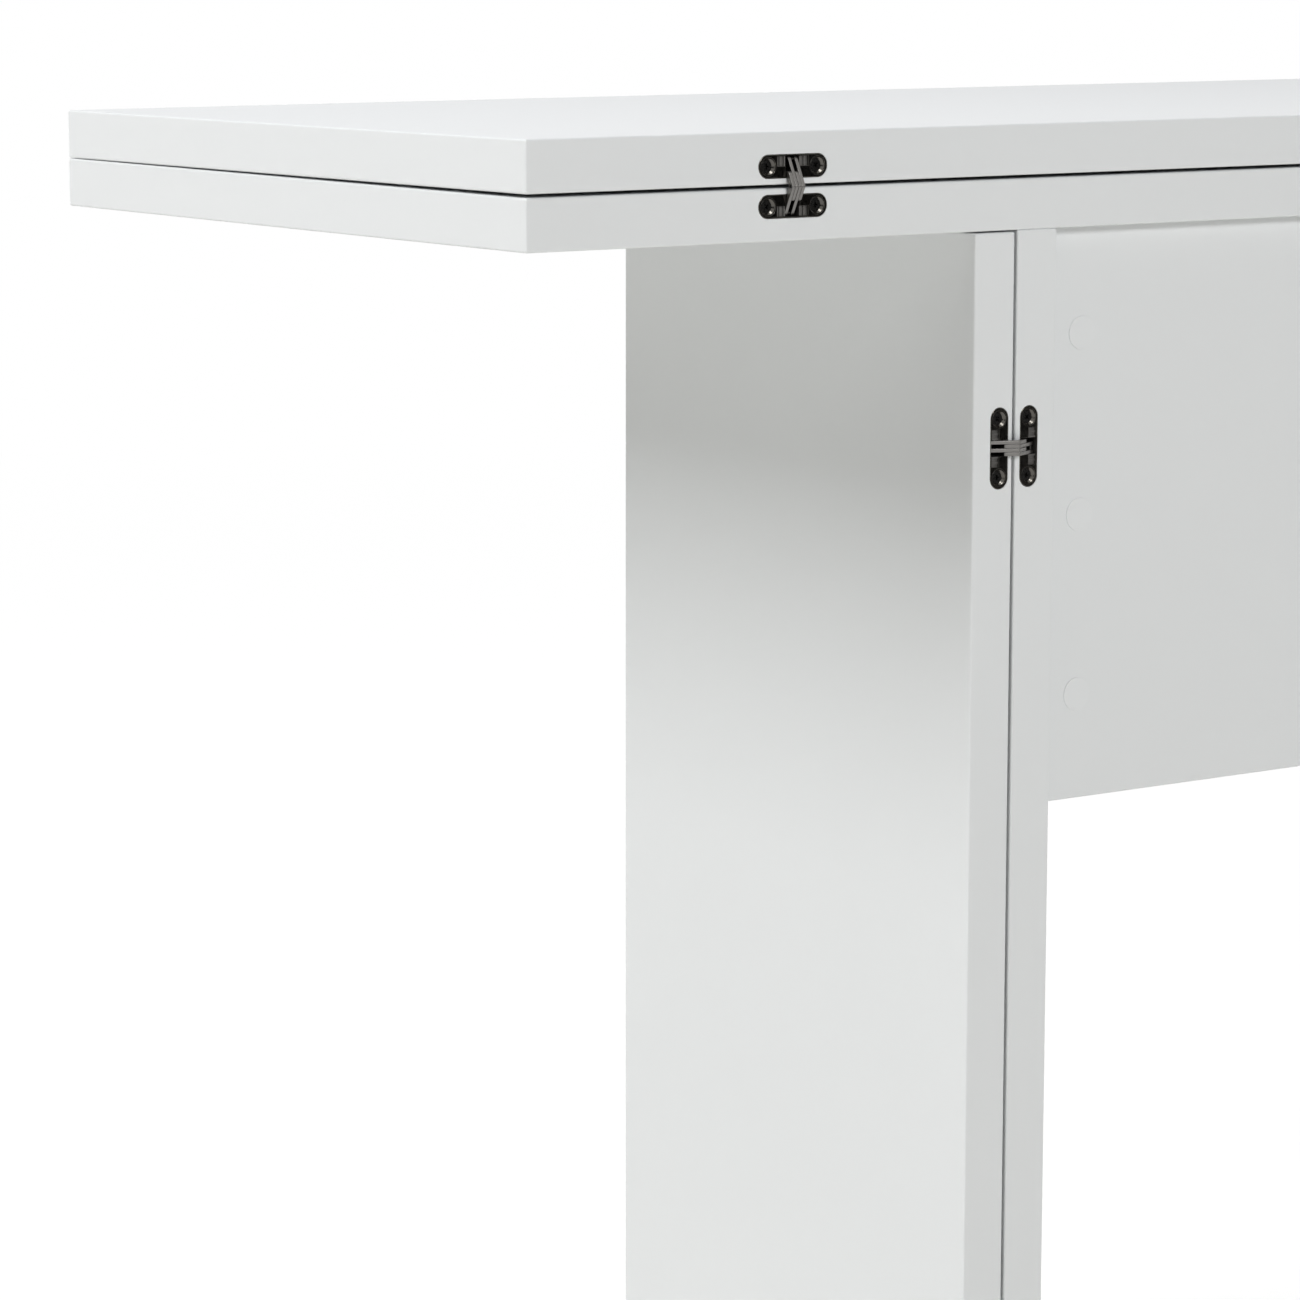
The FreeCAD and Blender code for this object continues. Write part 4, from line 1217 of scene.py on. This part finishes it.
class FOLDTABLE_OT_stage(bpy.types.Operator):
    """Lay the pale floor, hang the soft lamps and set the camera"""

    bl_idname = "foldtable.stage"
    bl_label = "Stage"

    def lay_floor(self, stage):
        """Pale floor, white where it is seen, that keeps the shadow near the table."""
        floor = start(bpy.ops.mesh.primitive_plane_add, "floor", size=FLOOR_SIDE)
        with editing(floor):
            pick_all()
            bpy.ops.mesh.subdivide(number_cuts=3)
        finish = new_finish("pale_floor")
        matt = finish.node("ShaderNodeBsdfDiffuse", inputs={"Color": shade(stage.floor, 1.0)})
        glow = finish.node("ShaderNodeEmission", inputs={"Color": WHITE, "Strength": stage.floor_glow})
        grey = shade(WHITE[:3], stage.floor_shade)
        shaded = finish.node("ShaderNodeBsdfDiffuse", inputs={"Color": grey})
        close = finish.node("ShaderNodeAddShader", inputs={0: glow, 1: shaded})
        plain = finish.node("ShaderNodeEmission", inputs={"Color": WHITE, "Strength": 1.0})
        ball = {"Vector": finish.place((1.0 / stage.floor_reach,) * 3)}
        nearness = finish.node("ShaderNodeTexGradient", {"gradient_type": "SPHERICAL"}, ball, "Fac")
        ground = finish.layer(finish.seen(), matt, finish.layer(nearness, plain, close))
        finish.feed(finish.tree.nodes["Material Output"].inputs["Surface"], ground)
        floor.data.materials.append(finish.owner)

    def set_cards(self, stage):
        """Black cards out of the picture for the dark metal to mirror."""
        finish = new_finish("black_card")
        finish.surface(Base_Color=shade(stage.card, 1.0), Roughness=0.9, Specular_IOR_Level=0.0)
        for name, (place, width, height) in CARDS.items():
            facing = (Vector(HINGES_SEEN) - Vector(place)).to_track_quat("Z", "Y").to_euler()
            card = start(bpy.ops.mesh.primitive_plane_add, name, size=1.0, location=place,
                         rotation=facing, scale=(width, height, 1.0))
            card.data.materials.append(finish.owner)
            card.visible_camera = card.visible_diffuse = card.visible_shadow = False

    def light_room(self, scene, stage):
        """Even room light, with plain white where the background is seen."""
        scene.world = bpy.data.worlds.new("room")
        finish = Finish(scene.world)
        dim = finish.node("ShaderNodeBackground", inputs={"Color": WHITE, "Strength": stage.sky})
        plain = finish.node("ShaderNodeBackground", inputs={"Color": WHITE, "Strength": 1.0})
        room = finish.layer(finish.seen(), dim, plain)
        finish.feed(finish.tree.nodes["World Output"].inputs["Surface"], room)

    def hang_lamp(self, name, watts, place, target, width, height):
        """A soft box at a place, facing a target."""
        bpy.ops.object.light_add(type="AREA", location=place)
        lamp = bpy.context.object
        lamp.name = name
        lamp.data.shape = "RECTANGLE"
        lamp.data.size = width
        lamp.data.size_y = height
        lamp.data.energy = watts
        lamp.rotation_euler = (Vector(target) - Vector(place)).to_track_quat("-Z", "Y").to_euler()
        lamp.visible_diffuse = name not in GLOSS_ONLY

    def set_camera(self, scene, stage):
        """Camera at the viewing angle of the photograph."""
        corner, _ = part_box("lower_leaf")
        flat = math.cos(stage.pitch)
        ahead = Vector((math.sin(stage.yaw) * flat, math.cos(stage.yaw) * flat, -math.sin(stage.pitch)))
        level = Vector((math.cos(stage.yaw), -math.sin(stage.yaw), 0.0))
        upright = level.cross(ahead)
        right = level * math.cos(stage.roll) + upright * math.sin(stage.roll)
        above = right.cross(ahead)
        bpy.ops.object.camera_add(location=corner + Vector(stage.camera_from_corner))
        camera = bpy.context.object
        camera.rotation_euler = Matrix((right, above, -ahead)).transposed().to_euler()
        camera.data.lens = stage.lens
        camera.data.sensor_width = stage.sensor
        camera.data.clip_end = SIGHT
        scene.camera = camera

    def execute(self, context):
        scene = context.scene
        stage = scene.foldtable_stage
        scene.view_settings.view_transform = "Standard"
        self.lay_floor(stage)
        self.set_cards(stage)
        self.light_room(scene, stage)
        for lamp, (place, target, width, height) in LAMPS.items():
            self.hang_lamp(lamp, getattr(stage, lamp), place, target, width, height)
        self.set_camera(scene, stage)
        return {"FINISHED"}


class FOLDTABLE_PT_sidebar(bpy.types.Panel):
    """Steps and sizes of the table"""

    bl_idname = "FOLDTABLE_PT_sidebar"
    bl_label = "Book-fold table"
    bl_space_type = "VIEW_3D"
    bl_region_type = "UI"
    bl_category = "Table"

    def draw(self, context):
        for step in STEPS:
            self.layout.operator(step.bl_idname)
        for group, holder in GROUPS.items():
            box = self.layout.box()
            for name in holder.__annotations__:
                box.prop(getattr(context.scene, group), name)


GROUPS = {
    "foldtable_hinges": FOLDTABLE_PG_hinges,
    "foldtable_fittings": FOLDTABLE_PG_fittings,
    "foldtable_finishes": FOLDTABLE_PG_finishes,
    "foldtable_stage": FOLDTABLE_PG_stage,
}
STEPS = (
    FOLDTABLE_OT_boards, FOLDTABLE_OT_joinery, FOLDTABLE_OT_housings, FOLDTABLE_OT_links,
    FOLDTABLE_OT_pins, FOLDTABLE_OT_screws, FOLDTABLE_OT_caps, FOLDTABLE_OT_glides,
    FOLDTABLE_OT_pads, FOLDTABLE_OT_stage)


def register():
    """Register the classes and hang the property groups on the scene."""
    for holder in (*GROUPS.values(), *STEPS, FOLDTABLE_PT_sidebar):
        bpy.utils.register_class(holder)
    for group, holder in GROUPS.items():
        setattr(bpy.types.Scene, group, PointerProperty(type=holder))


def unregister():
    """Take the property groups and classes away again."""
    for group in GROUPS:
        delattr(bpy.types.Scene, group)
    for holder in (FOLDTABLE_PT_sidebar, *reversed(STEPS), *reversed(GROUPS.values())):
        bpy.utils.unregister_class(holder)


def main():
    """Build every piece in order."""
    register()
    bpy.ops.foldtable.boards()
    bpy.ops.foldtable.joinery()
    bpy.ops.foldtable.housings()
    bpy.ops.foldtable.links()
    bpy.ops.foldtable.pins()
    bpy.ops.foldtable.screws()
    bpy.ops.foldtable.caps()
    bpy.ops.foldtable.glides()
    bpy.ops.foldtable.pads()
    bpy.ops.foldtable.stage()


if __name__ == "__main__":
    main()
